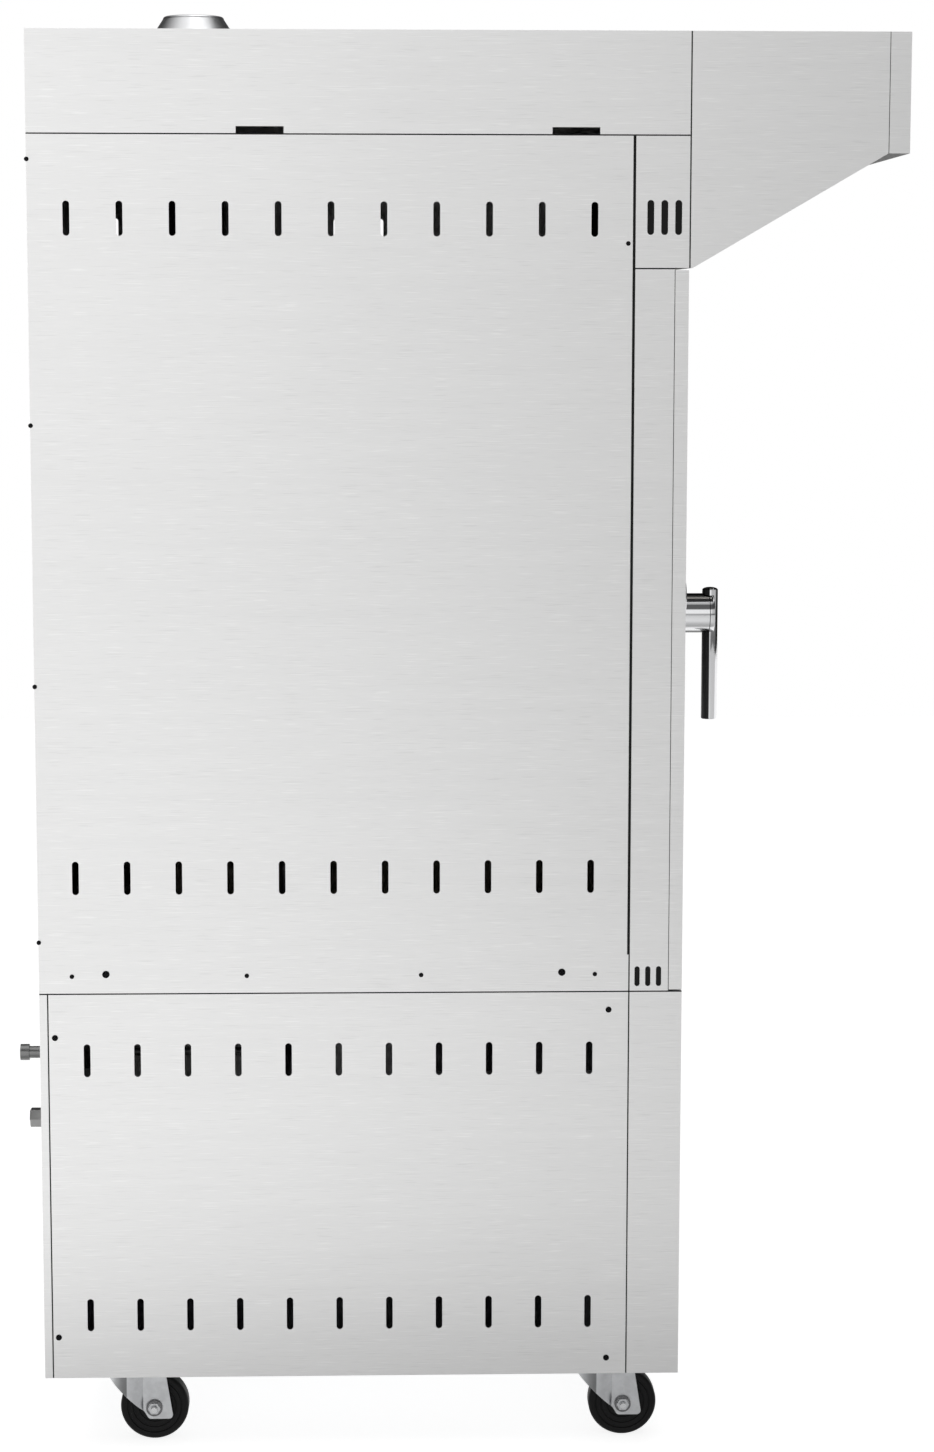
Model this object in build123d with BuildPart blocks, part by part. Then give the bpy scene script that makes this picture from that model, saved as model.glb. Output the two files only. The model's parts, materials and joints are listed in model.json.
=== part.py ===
"""Vertical water smoker: a floor-standing stainless smoking cabinet on casters.

Frame: +Z up, the door faces -Y, the origin is on the floor under the middle of the object's box.
All sizes are millimetres.
"""
import os
from math import atan2, cos, sin

from build123d import *

os.makedirs("parts", exist_ok=True)

# ---------------------------------------------------------------- driving dimensions
body_width = 900.0            # across both side panels
body_depth = 920.0            # rear face to the plane that the hood is bolted to
lower_height = 566.5          # lower cabinet
upper_height = 1208.5         # mid seam to the seam under the top cover
top_cover_height = 142.0
header_height = 183.0         # box above the door
caster_height = 130.0         # floor to the frame's underside
skirt_drop = 12.0             # panels reach this far below the frame
sheet = 2.0                   # every folded panel
seam = 2.0                    # open line between two panels
wide_seam = 3.0               # open line in front of the upper side panels
tube = 30.0                   # square bar of the frame
weld_gap = 0.1                # root gap between welded bars
front_box_depth = 78.0        # column, header and lower front cover, front to seam
face_step = 2.0               # fascia, door and lower cover stand behind the hood plane
fascia_depth = 20.0           # strip in front of the control column
rear_strip = 11.0             # side fold of the lower rear panel
fold = 18.0                   # usual inward fold of a panel

hood_reach = 304.0            # hood front beyond the hood plane
hood_fascia_depth = 29.0
hood_mouth_height = 166.0     # height of the hood's front face
hood_heel = 3.4               # level stretch of the cheek next to the hood plane

flue_height = 55.0            # collar above the roof
flue_bore_radius = 42.0
flue_base_radius = 78.0
flue_rim_radius = 46.0
flue_from_rear = 209.3        # flue axis in front of the rear face
flue_wall = 2.0
pipe_above_chamber = 313.0    # top end of the flue pipe above the liner

inlet_reach = 43.5            # inlet tip behind the rear face
inlet_shank_radius = 8.85
inlet_head_radius = 11.9
inlet_head_length = 12.9
inlet_height = 447.7          # above the lower edge of the cabinet
drain_height = 349.2
drain_reach = 30.6
drain_flats = 25.6
drain_thread_radius = 8.3
drain_thread_depth = 24.0
service_inset = 150.0         # inlet and drain inboard of the left side

column_width = 155.0
door_side_gap = 4.0           # door to column, and door to the right side's face
door_foot_gap = 7.5
door_head_gap = 7.0
door_slab = 15.7
door_face_gap = 4.0           # slab to door frame, filled by the gasket
plug_depth = 46.0
plug_clearance = 12.0
hinge_inset = 7.5             # hinge axis from the door's free side edge
hinge_pin_radius = 4.0
running_gap = 0.05
face_gap = 0.3
bracket = 4.0

chamber_left_margin = 72.0    # door's left edge line to the chamber's side
chamber_right_margin = 75.0   # right side to the chamber's side
chamber_floor_margin = 55.5   # mid seam to the chamber floor
chamber_roof_margin = 50.0    # header to the chamber roof
chamber_depth = 684.0
liner = 2.0
insulation = 30.0

rack_count = 3
rack_pitch = 220.0
first_rack_height = 210.0     # above the chamber floor
rack_side_gap = 10.0
rack_front_gap = 38.0         # door frame's rear edge to the rack
rack_rear_gap = 16.0          # rack to the fan baffle
fan_room = 130.0              # fan baffle to the chamber's rear wall
rack_depth = chamber_depth - fan_room - rack_front_gap - rack_rear_gap
rack_bar = 6.0
rack_wire_radius = 2.0
rack_wire_pitch = 24.0
guide_post = 8.0
guide_ledge = 12.0
guide_ledge_thickness = 3.0
pan_ledge_height = 40.0
pan_drop = 35.0               # pan body below its rim
pan_length = rack_depth - 40.0
pan_wall = 2.0
pan_rim = 12.0

fan_radius = 130.0
fan_width = 62.0
fan_blades = 12
fan_shaft_radius = 6.0
motor_radius = 70.0
motor_length = 104.0
element_radius = 152.0
element_tube_radius = 4.5
element_lead_radius = 3.5
element_lead_offset = 1.5     # leads stand this far outside the ring's centre line
element_pitch = 34.0

handle_inset = 33.0           # handle axis from the door's latch edge
handle_height = 526.1         # above the mid seam
hub_radius = 29.0
hub_length = 60.0
lever_radius = 11.5
lever_drop = 156.6
lever_rise = 38.4
lever_stand_off = 55.0
spindle_radius = 7.0
tongue_reach = 20.0
tongue_width = 12.0
tongue_thickness = 6.0
keeper_margin = 5.0

slot_width = 9.5
slot_length = 48.0
slot_count = 11
small_slot_width = 7.5
small_slot_length = 29.0
small_slot_pitch = 15.4
header_slot_pitch = 19.45

wheel_radius = 50.0
wheel_width = 32.0
wheel_inset = 86.0            # wheel centre inboard of the side
caster_trail = 38.0
front_axle_from_seam = 0.9    # front axle in front of the front box seam
rear_axle_from_rear = 152.8
axle_radius = 6.0
fork_gap = 3.0
fork_sheet = 3.0
caster_plate = 3.5
crown_radius = 31.0
race_radius = 29.0
kingpin_radius = 6.0

drawer_width = 220.0
drawer_height = 96.0
drawer_length = 330.0
drawer_floor_height = 250.0   # above the lower edge of the cabinet
smoke_duct_radius = 32.0

screw_shank = 2.5
screw_length = 12.0
screw_head = 2.4
screw_clearance = 0.3

# ---------------------------------------------------------------- levels and planes
overall_depth = inlet_reach + body_depth + hood_reach
side_x = body_width / 2
rear_y = overall_depth / 2 - inlet_reach
hood_plane_y = rear_y - body_depth
front_seam_y = hood_plane_y + front_box_depth
face_y = hood_plane_y + face_step
column_front_y = face_y + fascia_depth
hood_front_y = hood_plane_y - hood_reach

foot_z = caster_height - skirt_drop
mid_z = foot_z + lower_height
cover_z = mid_z + upper_height
roof_z = cover_z + top_cover_height
header_z = cover_z - header_height
flue_top_z = roof_z + flue_height

post_front_y = front_seam_y + wide_seam
post_rear_y = rear_y - 2 * sheet
post_outer_x = side_x - sheet
deck_low_z = mid_z - sheet / 2
deck_high_z = mid_z + sheet / 2
lower_top_z = mid_z - seam / 2
upper_low_z = mid_z + seam / 2
upper_top_z = cover_z - seam / 2
box_rear_y = front_seam_y - seam

column_right_x = -side_x + column_width
door_left_x = column_right_x + door_side_gap
door_right_x = side_x - door_side_gap + seam / 2
door_low_z = mid_z + door_foot_gap
door_high_z = header_z - door_head_gap
door_back_y = face_y + door_slab
frame_face_y = door_back_y + door_face_gap
frame_left_x = column_right_x + seam
frame_low_z = upper_low_z
frame_high_z = header_z - seam / 2
hinge_x = door_right_x - hinge_inset
hinge_y = (face_y + door_back_y) / 2

chamber_left_x = door_left_x + chamber_left_margin - door_side_gap
chamber_right_x = side_x - chamber_right_margin
chamber_low_z = mid_z + chamber_floor_margin
chamber_high_z = header_z - chamber_roof_margin
chamber_front_y = box_rear_y
chamber_rear_y = chamber_front_y + chamber_depth
chamber_mid_x = (chamber_left_x + chamber_right_x) / 2
chamber_mid_z = (chamber_low_z + chamber_high_z) / 2
baffle_y = chamber_rear_y - fan_room
jacket_rear_y = chamber_rear_y + liner + insulation

handle_x = door_left_x + handle_inset
handle_z = mid_z + handle_height
service_x = -side_x + service_inset
inlet_z = foot_z + inlet_height
drain_z = foot_z + drain_height
flue_y = rear_y - flue_from_rear

rack_width = chamber_right_x - chamber_left_x - 2 * rack_side_gap
rack_front_y = chamber_front_y + rack_front_gap
rack_mid_y = rack_front_y + rack_depth / 2
ledge_inner = guide_post + guide_ledge

drawer_low_z = foot_z + drawer_floor_height
drawer_high_z = drawer_low_z + drawer_height


# ---------------------------------------------------------------- helpers
def block(x, y, z, mode=Mode.ADD):
    """Add or cut the block that spans three pairs of coordinates."""
    centre = ((x[0] + x[1]) / 2, (y[0] + y[1]) / 2, (z[0] + z[1]) / 2)
    with Locations(centre):
        Box(x[1] - x[0], y[1] - y[0], z[1] - z[0], mode=mode)


def rod_x(x, y, z, radius, mode=Mode.ADD):
    """Add or cut a round bar along X between the pair x."""
    with Locations(((x[0] + x[1]) / 2, y, z)):
        Cylinder(radius, x[1] - x[0], rotation=(0, 90, 0), mode=mode)


def rod_y(x, y, z, radius, mode=Mode.ADD):
    """Add or cut a round bar along Y between the pair y."""
    with Locations((x, (y[0] + y[1]) / 2, z)):
        Cylinder(radius, y[1] - y[0], rotation=(90, 0, 0), mode=mode)


def rod_z(x, y, z, radius, mode=Mode.ADD):
    """Add or cut a round bar along Z between the pair z."""
    with Locations((x, y, (z[0] + z[1]) / 2)):
        Cylinder(radius, z[1] - z[0], mode=mode)


def facing(y):
    """Return the plane at y that looks towards the operator, with X right and Z up."""
    return Plane.XZ.offset(-y)


def spread(first, last, count):
    """Return evenly spaced places from first to last."""
    return [first + (last - first) * i / (count - 1) for i in range(count)]


def cut_side_slots(side, places, z, width, length):
    """Cut upright round-ended slots through a panel on the given side."""
    with BuildSketch(Plane.YZ.offset(side * side_x)) as slots:
        with Locations(*[(y, z) for y in places]):
            SlotOverall(length, width, rotation=90)
    extrude(slots.sketch, amount=2 * sheet, both=True, mode=Mode.SUBTRACT)


def write(part, name):
    """Label a finished piece and write its STEP file."""
    part.label = name
    export_step(part, f"parts/{name}.step")


# ---------------------------------------------------------------- fastener places
small_head = 3.2
plain_head = 4.3
large_head = 5.2
foot_row_z = mid_z + 25.5
lower_screws = [
    (rear_y - 21.6, mid_z - 63.5, plain_head),
    (front_seam_y + 29.0, mid_z - 26.5, plain_head),
    (rear_y - 20.7, foot_z + 61.0, plain_head),
    (front_seam_y + 29.0, foot_z + 23.7, plain_head),
]
upper_screws = [(front_seam_y + 9.2, header_z + 34.5, small_head)]
upper_screws += [(y, foot_row_z, small_head) for y in spread(rear_y - 47.0, front_seam_y + 49.0, 4)]
bolt_places = [rear_y - 95.3, front_seam_y + 96.4]
upper_screws += [(y, foot_row_z + 3.0, large_head) for y in bolt_places]
side_screws = lower_screws + upper_screws
rear_screw_x = side_x - 9.0
screw_hole = screw_shank + screw_clearance
rear_screw_levels = spread(mid_z + 75.0, cover_z - 35.0, 4)
lower_rear_levels = [foot_z + 32.0, mid_z - 34.5]


def cut_side_screws(places, side, radius):
    """Drill the screw places of one side through whatever stands there."""
    for y, z, _ in places:
        rod_x((side * side_x - screw_length, side * side_x + screw_length), y, z, radius, Mode.SUBTRACT)


# ---------------------------------------------------------------- frame and base
with BuildPart() as cabinet_frame:
    inner_x = post_outer_x - tube
    lower_rail_z = (caster_height, caster_height + tube)
    upper_rail_z = (upper_top_z - sheet - tube, upper_top_z - sheet)
    tie_rail_z = (deck_low_z - tube, deck_low_z)
    sill_z = (deck_high_z, deck_high_z + tube)
    front_pair = (post_front_y, post_front_y + tube)
    rear_pair = (post_rear_y - tube, post_rear_y)
    for level in (lower_rail_z, tie_rail_z, upper_rail_z):
        for side in (-1, 1):
            block(sorted((side * inner_x, side * post_outer_x)), (post_front_y, post_rear_y), level)
        for pair in (front_pair, rear_pair):
            block((weld_gap - inner_x, inner_x - weld_gap), pair, level)
    for side in (-1, 1):
        side_pair = sorted((side * inner_x, side * post_outer_x))
        for pair in (front_pair, rear_pair):
            block(side_pair, pair, (lower_rail_z[1] + weld_gap, tie_rail_z[0] - weld_gap))
            block(side_pair, pair, (deck_high_z, upper_rail_z[0] - weld_gap))
        block(side_pair, (front_pair[1] + weld_gap, rear_pair[0] - weld_gap), sill_z)
        cut_side_screws(side_screws, side, screw_shank)
        for z in lower_rear_levels:
            pilot_y = (post_rear_y - screw_length, post_rear_y)
            rod_y(side * rear_screw_x, pilot_y, z, screw_shank, Mode.SUBTRACT)
write(cabinet_frame.part, "cabinet_frame")

pan_low_z = caster_height + tube
with BuildPart() as base_pan:
    pan_x = (-side_x + tube + fold, side_x - tube - fold)
    block(pan_x, (post_front_y, post_rear_y - tube), (pan_low_z, pan_low_z + sheet))
write(base_pan.part, "base_pan")

duct_y = chamber_front_y + 150.0
floor_drain_y = chamber_rear_y - 184.0
spout_y = chamber_rear_y - 186.0
drain_pipe_radius = 13.0
spout_reach = 22.0
fill_pipe_radius = 6.0
with BuildPart() as floor_deck:
    deck_z = (deck_low_z, deck_high_z)
    block((-side_x + 2 * sheet, side_x - 2 * sheet), (frame_face_y + sheet, post_rear_y), deck_z)
    rod_z(chamber_mid_x, duct_y, deck_z, smoke_duct_radius + 1, Mode.SUBTRACT)
    rod_z(chamber_mid_x, floor_drain_y, deck_z, drain_pipe_radius + 1, Mode.SUBTRACT)
    rod_z(service_x, spout_y, deck_z, fill_pipe_radius + 1, Mode.SUBTRACT)
write(floor_deck.part, "floor_deck")

# ---------------------------------------------------------------- outer panels
lower_rear_edge_y = rear_y - rear_strip - seam
lower_slots = spread(rear_y - 67.0, front_seam_y + 56.4, slot_count)
upper_slots = spread(rear_y - 54.0, front_seam_y + 56.0, slot_count)
lower_slot_rows = (mid_z - 97.0, foot_z + 93.9)
upper_slot_rows = (cover_z - 115.5, mid_z + 167.5)
fold_foot_z = mid_z + 53.5

for side, word in ((-1, "left"), (1, "right")):
    plate_x = sorted((side * side_x, side * (side_x - sheet)))
    fold_x = sorted((side * (side_x - sheet), side * (side_x - fold)))

    with BuildPart() as lower_side_panel:
        block(plate_x, (front_seam_y + seam / 2, lower_rear_edge_y), (foot_z, lower_top_z))
        block(fold_x, (post_front_y, lower_rear_edge_y), (foot_z, foot_z + sheet))
        for row in lower_slot_rows:
            cut_side_slots(side, lower_slots, row, slot_width, slot_length)
        cut_side_screws(lower_screws, side, screw_hole)
    write(lower_side_panel.part, f"lower_side_panel_{word}")

    with BuildPart() as upper_side_panel:
        block(plate_x, (front_seam_y + seam / 2, rear_y), (upper_low_z, upper_top_z))
        block(plate_x, (front_seam_y, front_seam_y + wide_seam), (fold_foot_z, upper_top_z), Mode.SUBTRACT)
        block(fold_x, (rear_y - sheet, rear_y), (fold_foot_z, upper_top_z))
        block(fold_x, (post_front_y, post_rear_y), (upper_top_z - sheet, upper_top_z))
        for row in upper_slot_rows:
            cut_side_slots(side, upper_slots, row, slot_width, slot_length)
        cut_side_screws(upper_screws, side, screw_hole)
        for z in rear_screw_levels:
            rod_y(side * rear_screw_x, (rear_y - sheet, rear_y), z, screw_hole, Mode.SUBTRACT)
    write(upper_side_panel.part, f"upper_side_panel_{word}")

with BuildPart() as lower_rear_panel:
    block((-side_x, side_x), (rear_y - sheet, rear_y), (foot_z, lower_top_z))
    for side in (-1, 1):
        plate_x = sorted((side * side_x, side * (side_x - sheet)))
        block(plate_x, (rear_y - rear_strip, rear_y - sheet), (foot_z, lower_top_z))
        for z in lower_rear_levels:
            rod_y(side * rear_screw_x, (rear_y - sheet, rear_y), z, screw_hole, Mode.SUBTRACT)
    rod_y(service_x, (rear_y - sheet, rear_y), inlet_z, inlet_shank_radius + 0.5, Mode.SUBTRACT)
    rod_y(service_x, (rear_y - sheet, rear_y), drain_z, drain_flats / 2 - 4.0, Mode.SUBTRACT)
write(lower_rear_panel.part, "lower_rear_panel")

with BuildPart() as upper_rear_panel:
    rear_plate_y = (rear_y - 2 * sheet, rear_y - sheet)
    block((-side_x + sheet, side_x - sheet), rear_plate_y, (upper_low_z, upper_top_z))
    louvre_columns = spread(-240.0, 240.0, 3)
    louvre_rows = spread(mid_z + 300.0, mid_z + 720.0, 8)
    with BuildSketch(facing(rear_y)):
        with Locations(*[(x, z) for x in louvre_columns for z in louvre_rows]):
            SlotOverall(slot_length * 2, slot_width)
    extrude(amount=3 * sheet, both=True, mode=Mode.SUBTRACT)
    for side in (-1, 1):
        for z in rear_screw_levels:
            rod_y(side * rear_screw_x, rear_plate_y, z, screw_hole, Mode.SUBTRACT)
write(upper_rear_panel.part, "upper_rear_panel")

drawer_face_margin = 18.0
opening_x = (chamber_mid_x - drawer_width / 2 - 3.0, chamber_mid_x + drawer_width / 2 + 3.0)
opening_z = (drawer_low_z - 3.0, drawer_high_z + 3.0)
with BuildPart() as lower_front_cover:
    block((-side_x, side_x), (face_y, face_y + sheet), (foot_z, lower_top_z))
    for side in (-1, 1):
        plate_x = sorted((side * side_x, side * (side_x - sheet)))
        block(plate_x, (face_y + sheet, front_seam_y - seam / 2), (foot_z, lower_top_z))
    flange_x = (-side_x + sheet, side_x - sheet)
    block(flange_x, (face_y + sheet, frame_face_y), (lower_top_z - sheet, lower_top_z))
    block(flange_x, (face_y + sheet, face_y + fold), (foot_z, foot_z + sheet))
    block(opening_x, (face_y, face_y + sheet), opening_z, Mode.SUBTRACT)
write(lower_front_cover.part, "lower_front_cover")

notch_length = 66.3
notch_height = 9.5
notch_places = (rear_y - 322.0, front_seam_y + 82.4)
cover_front_y = hood_plane_y + seam
hood_port_x = (-200.0, 200.0)
hood_port_z = (cover_z + 22.0, roof_z - 20.0)
with BuildPart() as top_cover:
    low_z = cover_z + seam / 2
    block((-side_x, side_x), (cover_front_y, rear_y), (low_z, roof_z))
    inner_x = (-side_x + sheet, side_x - sheet)
    block(inner_x, (cover_front_y + sheet, rear_y - sheet), (low_z, roof_z - sheet), Mode.SUBTRACT)
    for y in notch_places:
        notch_y = (y - notch_length / 2, y + notch_length / 2)
        block((-side_x, side_x), notch_y, (low_z, low_z + notch_height), Mode.SUBTRACT)
    rod_z(0, flue_y, (roof_z - sheet, roof_z), flue_bore_radius, Mode.SUBTRACT)
    block(hood_port_x, (cover_front_y, cover_front_y + sheet), hood_port_z, Mode.SUBTRACT)
write(top_cover.part, "top_cover")

header_slots = [front_seam_y - 21.8 - header_slot_pitch * i for i in range(3)]
header_front_y = hood_plane_y + seam
with BuildPart() as header_box:
    header_z_pair = (header_z + seam / 2, upper_top_z)
    block((-side_x, side_x), (header_front_y, box_rear_y + seam / 2), header_z_pair)
    inner_z = (header_z_pair[0] + sheet, header_z_pair[1])
    inner_x = (-side_x + sheet, side_x - sheet)
    block(inner_x, (header_front_y + sheet, box_rear_y + seam / 2), inner_z, Mode.SUBTRACT)
    for side in (-1, 1):
        cut_side_slots(side, header_slots, cover_z - 112.7, slot_width, slot_length)
write(header_box.part, "header_box")

# ---------------------------------------------------------------- control column
column_x = (-side_x, column_right_x)
column_mid_x = (column_x[0] + column_x[1]) / 2
column_z = (upper_low_z, frame_high_z)
column_slots = [front_seam_y - 11.6 - small_slot_pitch * i for i in range(3)]
with BuildPart() as control_column:
    block(column_x, (column_front_y, box_rear_y + seam / 2), column_z)
    inner = (column_x[0] + sheet, column_x[1] - sheet)
    inner_z = (column_z[0] + sheet, column_z[1] - sheet)
    block(inner, (column_front_y, box_rear_y + seam / 2 - sheet), inner_z, Mode.SUBTRACT)
    cut_side_slots(-1, column_slots, mid_z + 22.0, small_slot_width, small_slot_length)
write(control_column.part, "control_column")

display_size = (112.0, 236.0)
display_z = header_z - 285.5
dial_z = display_z - 180.0
dial_radius = 26.0
dial_height = 6.5
dial_shaft_radius = 4.0
button_z = dial_z - 70.0
button_radius = 11.0
button_travel = 2.5
button_height = 4.0
fascia_z = (mid_z + 2.5, header_z - seam)
glass_seat = 1.0
with BuildPart() as control_fascia:
    block(column_x, (face_y, column_front_y - seam / 2), fascia_z)
    inner = (column_x[0] + sheet, column_x[1] - sheet)
    inner_z = (fascia_z[0] + sheet, fascia_z[1] - sheet)
    block(inner, (face_y + sheet, column_front_y), inner_z, Mode.SUBTRACT)
    with BuildSketch(facing(face_y)):
        with Locations((column_mid_x, display_z)):
            RectangleRounded(display_size[0] + 2 * face_gap, display_size[1] + 2 * face_gap, 6.0)
    extrude(amount=-glass_seat, mode=Mode.SUBTRACT)
    rod_y(column_mid_x, (face_y, face_y + sheet), dial_z, dial_shaft_radius + running_gap, Mode.SUBTRACT)
    rod_y(column_mid_x, (face_y, face_y + sheet), button_z, button_radius + running_gap, Mode.SUBTRACT)
write(control_fascia.part, "control_fascia")

with BuildPart() as display_glass:
    with BuildSketch(facing(face_y + glass_seat)):
        with Locations((column_mid_x, display_z)):
            RectangleRounded(display_size[0], display_size[1], 6.0)
    extrude(amount=glass_seat + 1.0)
    chamfer(display_glass.faces().sort_by(Axis.Y)[0].edges(), 0.5)
write(display_glass.part, "display_glass")

with BuildPart() as temperature_dial:
    with BuildSketch(facing(face_y - face_gap)):
        with Locations((column_mid_x, dial_z)):
            Circle(dial_radius)
    extrude(amount=dial_height)
    chamfer(temperature_dial.faces().sort_by(Axis.Y)[0].edges(), 1.5)
    pointer_z = (dial_z + dial_radius * 0.45, dial_z + dial_radius * 0.85)
    pointer_y = (face_y - face_gap - dial_height, face_y - face_gap - dial_height + 0.8)
    block((column_mid_x - 1.25, column_mid_x + 1.25), pointer_y, pointer_z, Mode.SUBTRACT)
    rod_y(column_mid_x, (face_y - face_gap, face_y + 3 * sheet), dial_z, dial_shaft_radius)
    collar_y = face_y + sheet + face_gap
    rod_y(column_mid_x, (collar_y, collar_y + sheet), dial_z, 2 * dial_shaft_radius)
write(temperature_dial.part, "temperature_dial")

with BuildPart() as start_button:
    button_tail_y = face_y + sheet + face_gap
    rod_y(column_mid_x, (face_y - button_height, button_tail_y + 1.0), button_z, button_radius)
    chamfer(start_button.faces().sort_by(Axis.Y)[0].edges(), 0.8)
    rod_y(column_mid_x, (button_tail_y, button_tail_y + 1.5), button_z, button_radius + 2.0)
    rod_y(column_mid_x, (button_tail_y + 1.5, button_tail_y + 8.0), button_z, 3.0)
write(start_button.part, "start_button")

# ---------------------------------------------------------------- door frame and chamber
keeper_x = (handle_x - tongue_reach - keeper_margin, handle_x + spindle_radius + keeper_margin)
keeper_z = (handle_z - tongue_reach - keeper_margin, handle_z + spindle_radius + keeper_margin)
frame_x = (frame_left_x, side_x)
frame_z = (frame_low_z, frame_high_z)
frame_rear_y = box_rear_y
with BuildPart() as door_frame:
    with BuildSketch(facing(frame_face_y)):
        with Locations(((frame_x[0] + frame_x[1]) / 2, (frame_z[0] + frame_z[1]) / 2)):
            Rectangle(frame_x[1] - frame_x[0], frame_z[1] - frame_z[0])
        with Locations((chamber_mid_x, chamber_mid_z)):
            mouth = (chamber_right_x - chamber_left_x, chamber_high_z - chamber_low_z)
            Rectangle(mouth[0], mouth[1], mode=Mode.SUBTRACT)
    extrude(amount=frame_face_y - frame_rear_y)
    with BuildSketch(facing(frame_face_y + sheet)):
        with Locations(((frame_x[0] + frame_x[1]) / 2, (frame_z[0] + frame_z[1]) / 2)):
            Rectangle(frame_x[1] - frame_x[0] - 2 * sheet, frame_z[1] - frame_z[0] - 2 * sheet)
        with Locations((chamber_mid_x, chamber_mid_z)):
            Rectangle(mouth[0] + 2 * sheet, mouth[1] + 2 * sheet, mode=Mode.SUBTRACT)
    extrude(amount=frame_face_y - frame_rear_y, mode=Mode.SUBTRACT)
    block(keeper_x, (frame_face_y, frame_face_y + sheet), keeper_z, Mode.SUBTRACT)
write(door_frame.part, "door_frame")

with BuildPart() as latch_keeper:
    keeper_y = (frame_face_y + sheet, frame_face_y + sheet + 3.0)
    keeper_z_outer = (keeper_z[0] - 12.0, keeper_z[1] + 12.0)
    block((keeper_x[0] - 4.0, keeper_x[1] + 4.0), keeper_y, keeper_z_outer)
    block(keeper_x, keeper_y, keeper_z, Mode.SUBTRACT)
write(latch_keeper.part, "latch_keeper")

chamber_x = (chamber_left_x, chamber_right_x)
chamber_z = (chamber_low_z, chamber_high_z)
liner_x = (chamber_left_x - liner, chamber_right_x + liner)
liner_z = (chamber_low_z - liner, chamber_high_z + liner)
liner_y = (chamber_front_y, chamber_rear_y + liner)
jacket_x = (liner_x[0] - insulation, liner_x[1] + insulation)
jacket_z = (liner_z[0] - insulation, liner_z[1] + insulation)
spout_z = chamber_low_z + 120.0
lead_spread = element_radius + element_lead_offset
element_lead_x = (chamber_mid_x - lead_spread, chamber_mid_x + lead_spread)
port_gap = 0.5


def cut_chamber_ports(gap):
    """Drill the ports that lead out of the chamber through a wall that stands there."""
    rod_z(chamber_mid_x, duct_y, (jacket_z[0], chamber_low_z), smoke_duct_radius + gap, Mode.SUBTRACT)
    rod_z(chamber_mid_x, floor_drain_y, (jacket_z[0], chamber_low_z), drain_pipe_radius + gap, Mode.SUBTRACT)
    rod_z(0, flue_y, (chamber_high_z, jacket_z[1]), flue_bore_radius + flue_wall + gap, Mode.SUBTRACT)
    rod_x((jacket_x[0], chamber_left_x), spout_y, spout_z, fill_pipe_radius + gap, Mode.SUBTRACT)
    shaft_port = fan_shaft_radius + 2.0 + gap
    rod_y(chamber_mid_x, (chamber_rear_y, jacket_rear_y), chamber_mid_z, shaft_port, Mode.SUBTRACT)
    for x in element_lead_x:
        rod_y(x, (chamber_rear_y, jacket_rear_y), chamber_mid_z, element_lead_radius + gap, Mode.SUBTRACT)


with BuildPart() as chamber_liner:
    block(liner_x, liner_y, liner_z)
    block(chamber_x, (chamber_front_y, chamber_rear_y), chamber_z, Mode.SUBTRACT)
    cut_chamber_ports(port_gap)
write(chamber_liner.part, "chamber_liner")

with BuildPart() as insulation_jacket:
    block(jacket_x, (chamber_front_y + seam + tube, jacket_rear_y), jacket_z)
    block(liner_x, liner_y, liner_z, Mode.SUBTRACT)
    cut_chamber_ports(2 * port_gap)
write(insulation_jacket.part, "insulation_jacket")

rack_levels = [chamber_low_z + first_rack_height + rack_pitch * i for i in range(rack_count)]
ledge_levels = [chamber_low_z + pan_ledge_height] + rack_levels
guide_posts_y = (rack_front_y + 40.0, rack_front_y + rack_depth - 90.0)
with BuildPart() as rack_guides:
    for side in (-1, 1):
        wall_x = chamber_left_x if side < 0 else chamber_right_x
        post_x = sorted((wall_x, wall_x - side * guide_post))
        ledge_x = sorted((wall_x - side * (guide_post + weld_gap), wall_x - side * ledge_inner))
        for y in guide_posts_y:
            block(post_x, (y, y + guide_post), (chamber_low_z, rack_levels[-1] + 60.0))
        for level in ledge_levels:
            block(ledge_x, (rack_front_y, rack_front_y + rack_depth), (level - guide_ledge_thickness, level))
write(rack_guides.part, "rack_guides")

for number, level in enumerate(rack_levels, start=1):
    rack_low_z = level + face_gap
    with BuildPart() as rack:
        with BuildSketch(Plane.XY.offset(rack_low_z)):
            with Locations((chamber_mid_x, rack_mid_y)):
                RectangleRounded(rack_width, rack_depth, 14.0)
                rack_hole = (rack_width - 2 * rack_bar, rack_depth - 2 * rack_bar)
                RectangleRounded(rack_hole[0], rack_hole[1], 8.0, mode=Mode.SUBTRACT)
        extrude(amount=rack_bar)
        wire_span = (rack_front_y + rack_bar / 2, rack_front_y + rack_depth - rack_bar / 2)
        wire_count = int((rack_width - 2 * rack_bar) // rack_wire_pitch)
        first_wire = chamber_mid_x - rack_wire_pitch * (wire_count - 1) / 2
        wire_z = rack_low_z + rack_bar - rack_wire_radius
        for i in range(wire_count):
            rod_y(first_wire + rack_wire_pitch * i, wire_span, wire_z, rack_wire_radius)
        cross_half = (rack_width - rack_bar) / 2
        cross_x = (chamber_mid_x - cross_half, chamber_mid_x + cross_half)
        for y in (rack_mid_y - rack_depth / 6, rack_mid_y + rack_depth / 6):
            block(cross_x, (y - 2.0, y + 2.0), (rack_low_z, wire_z))
    write(rack.part, f"rack_{number}")

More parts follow.
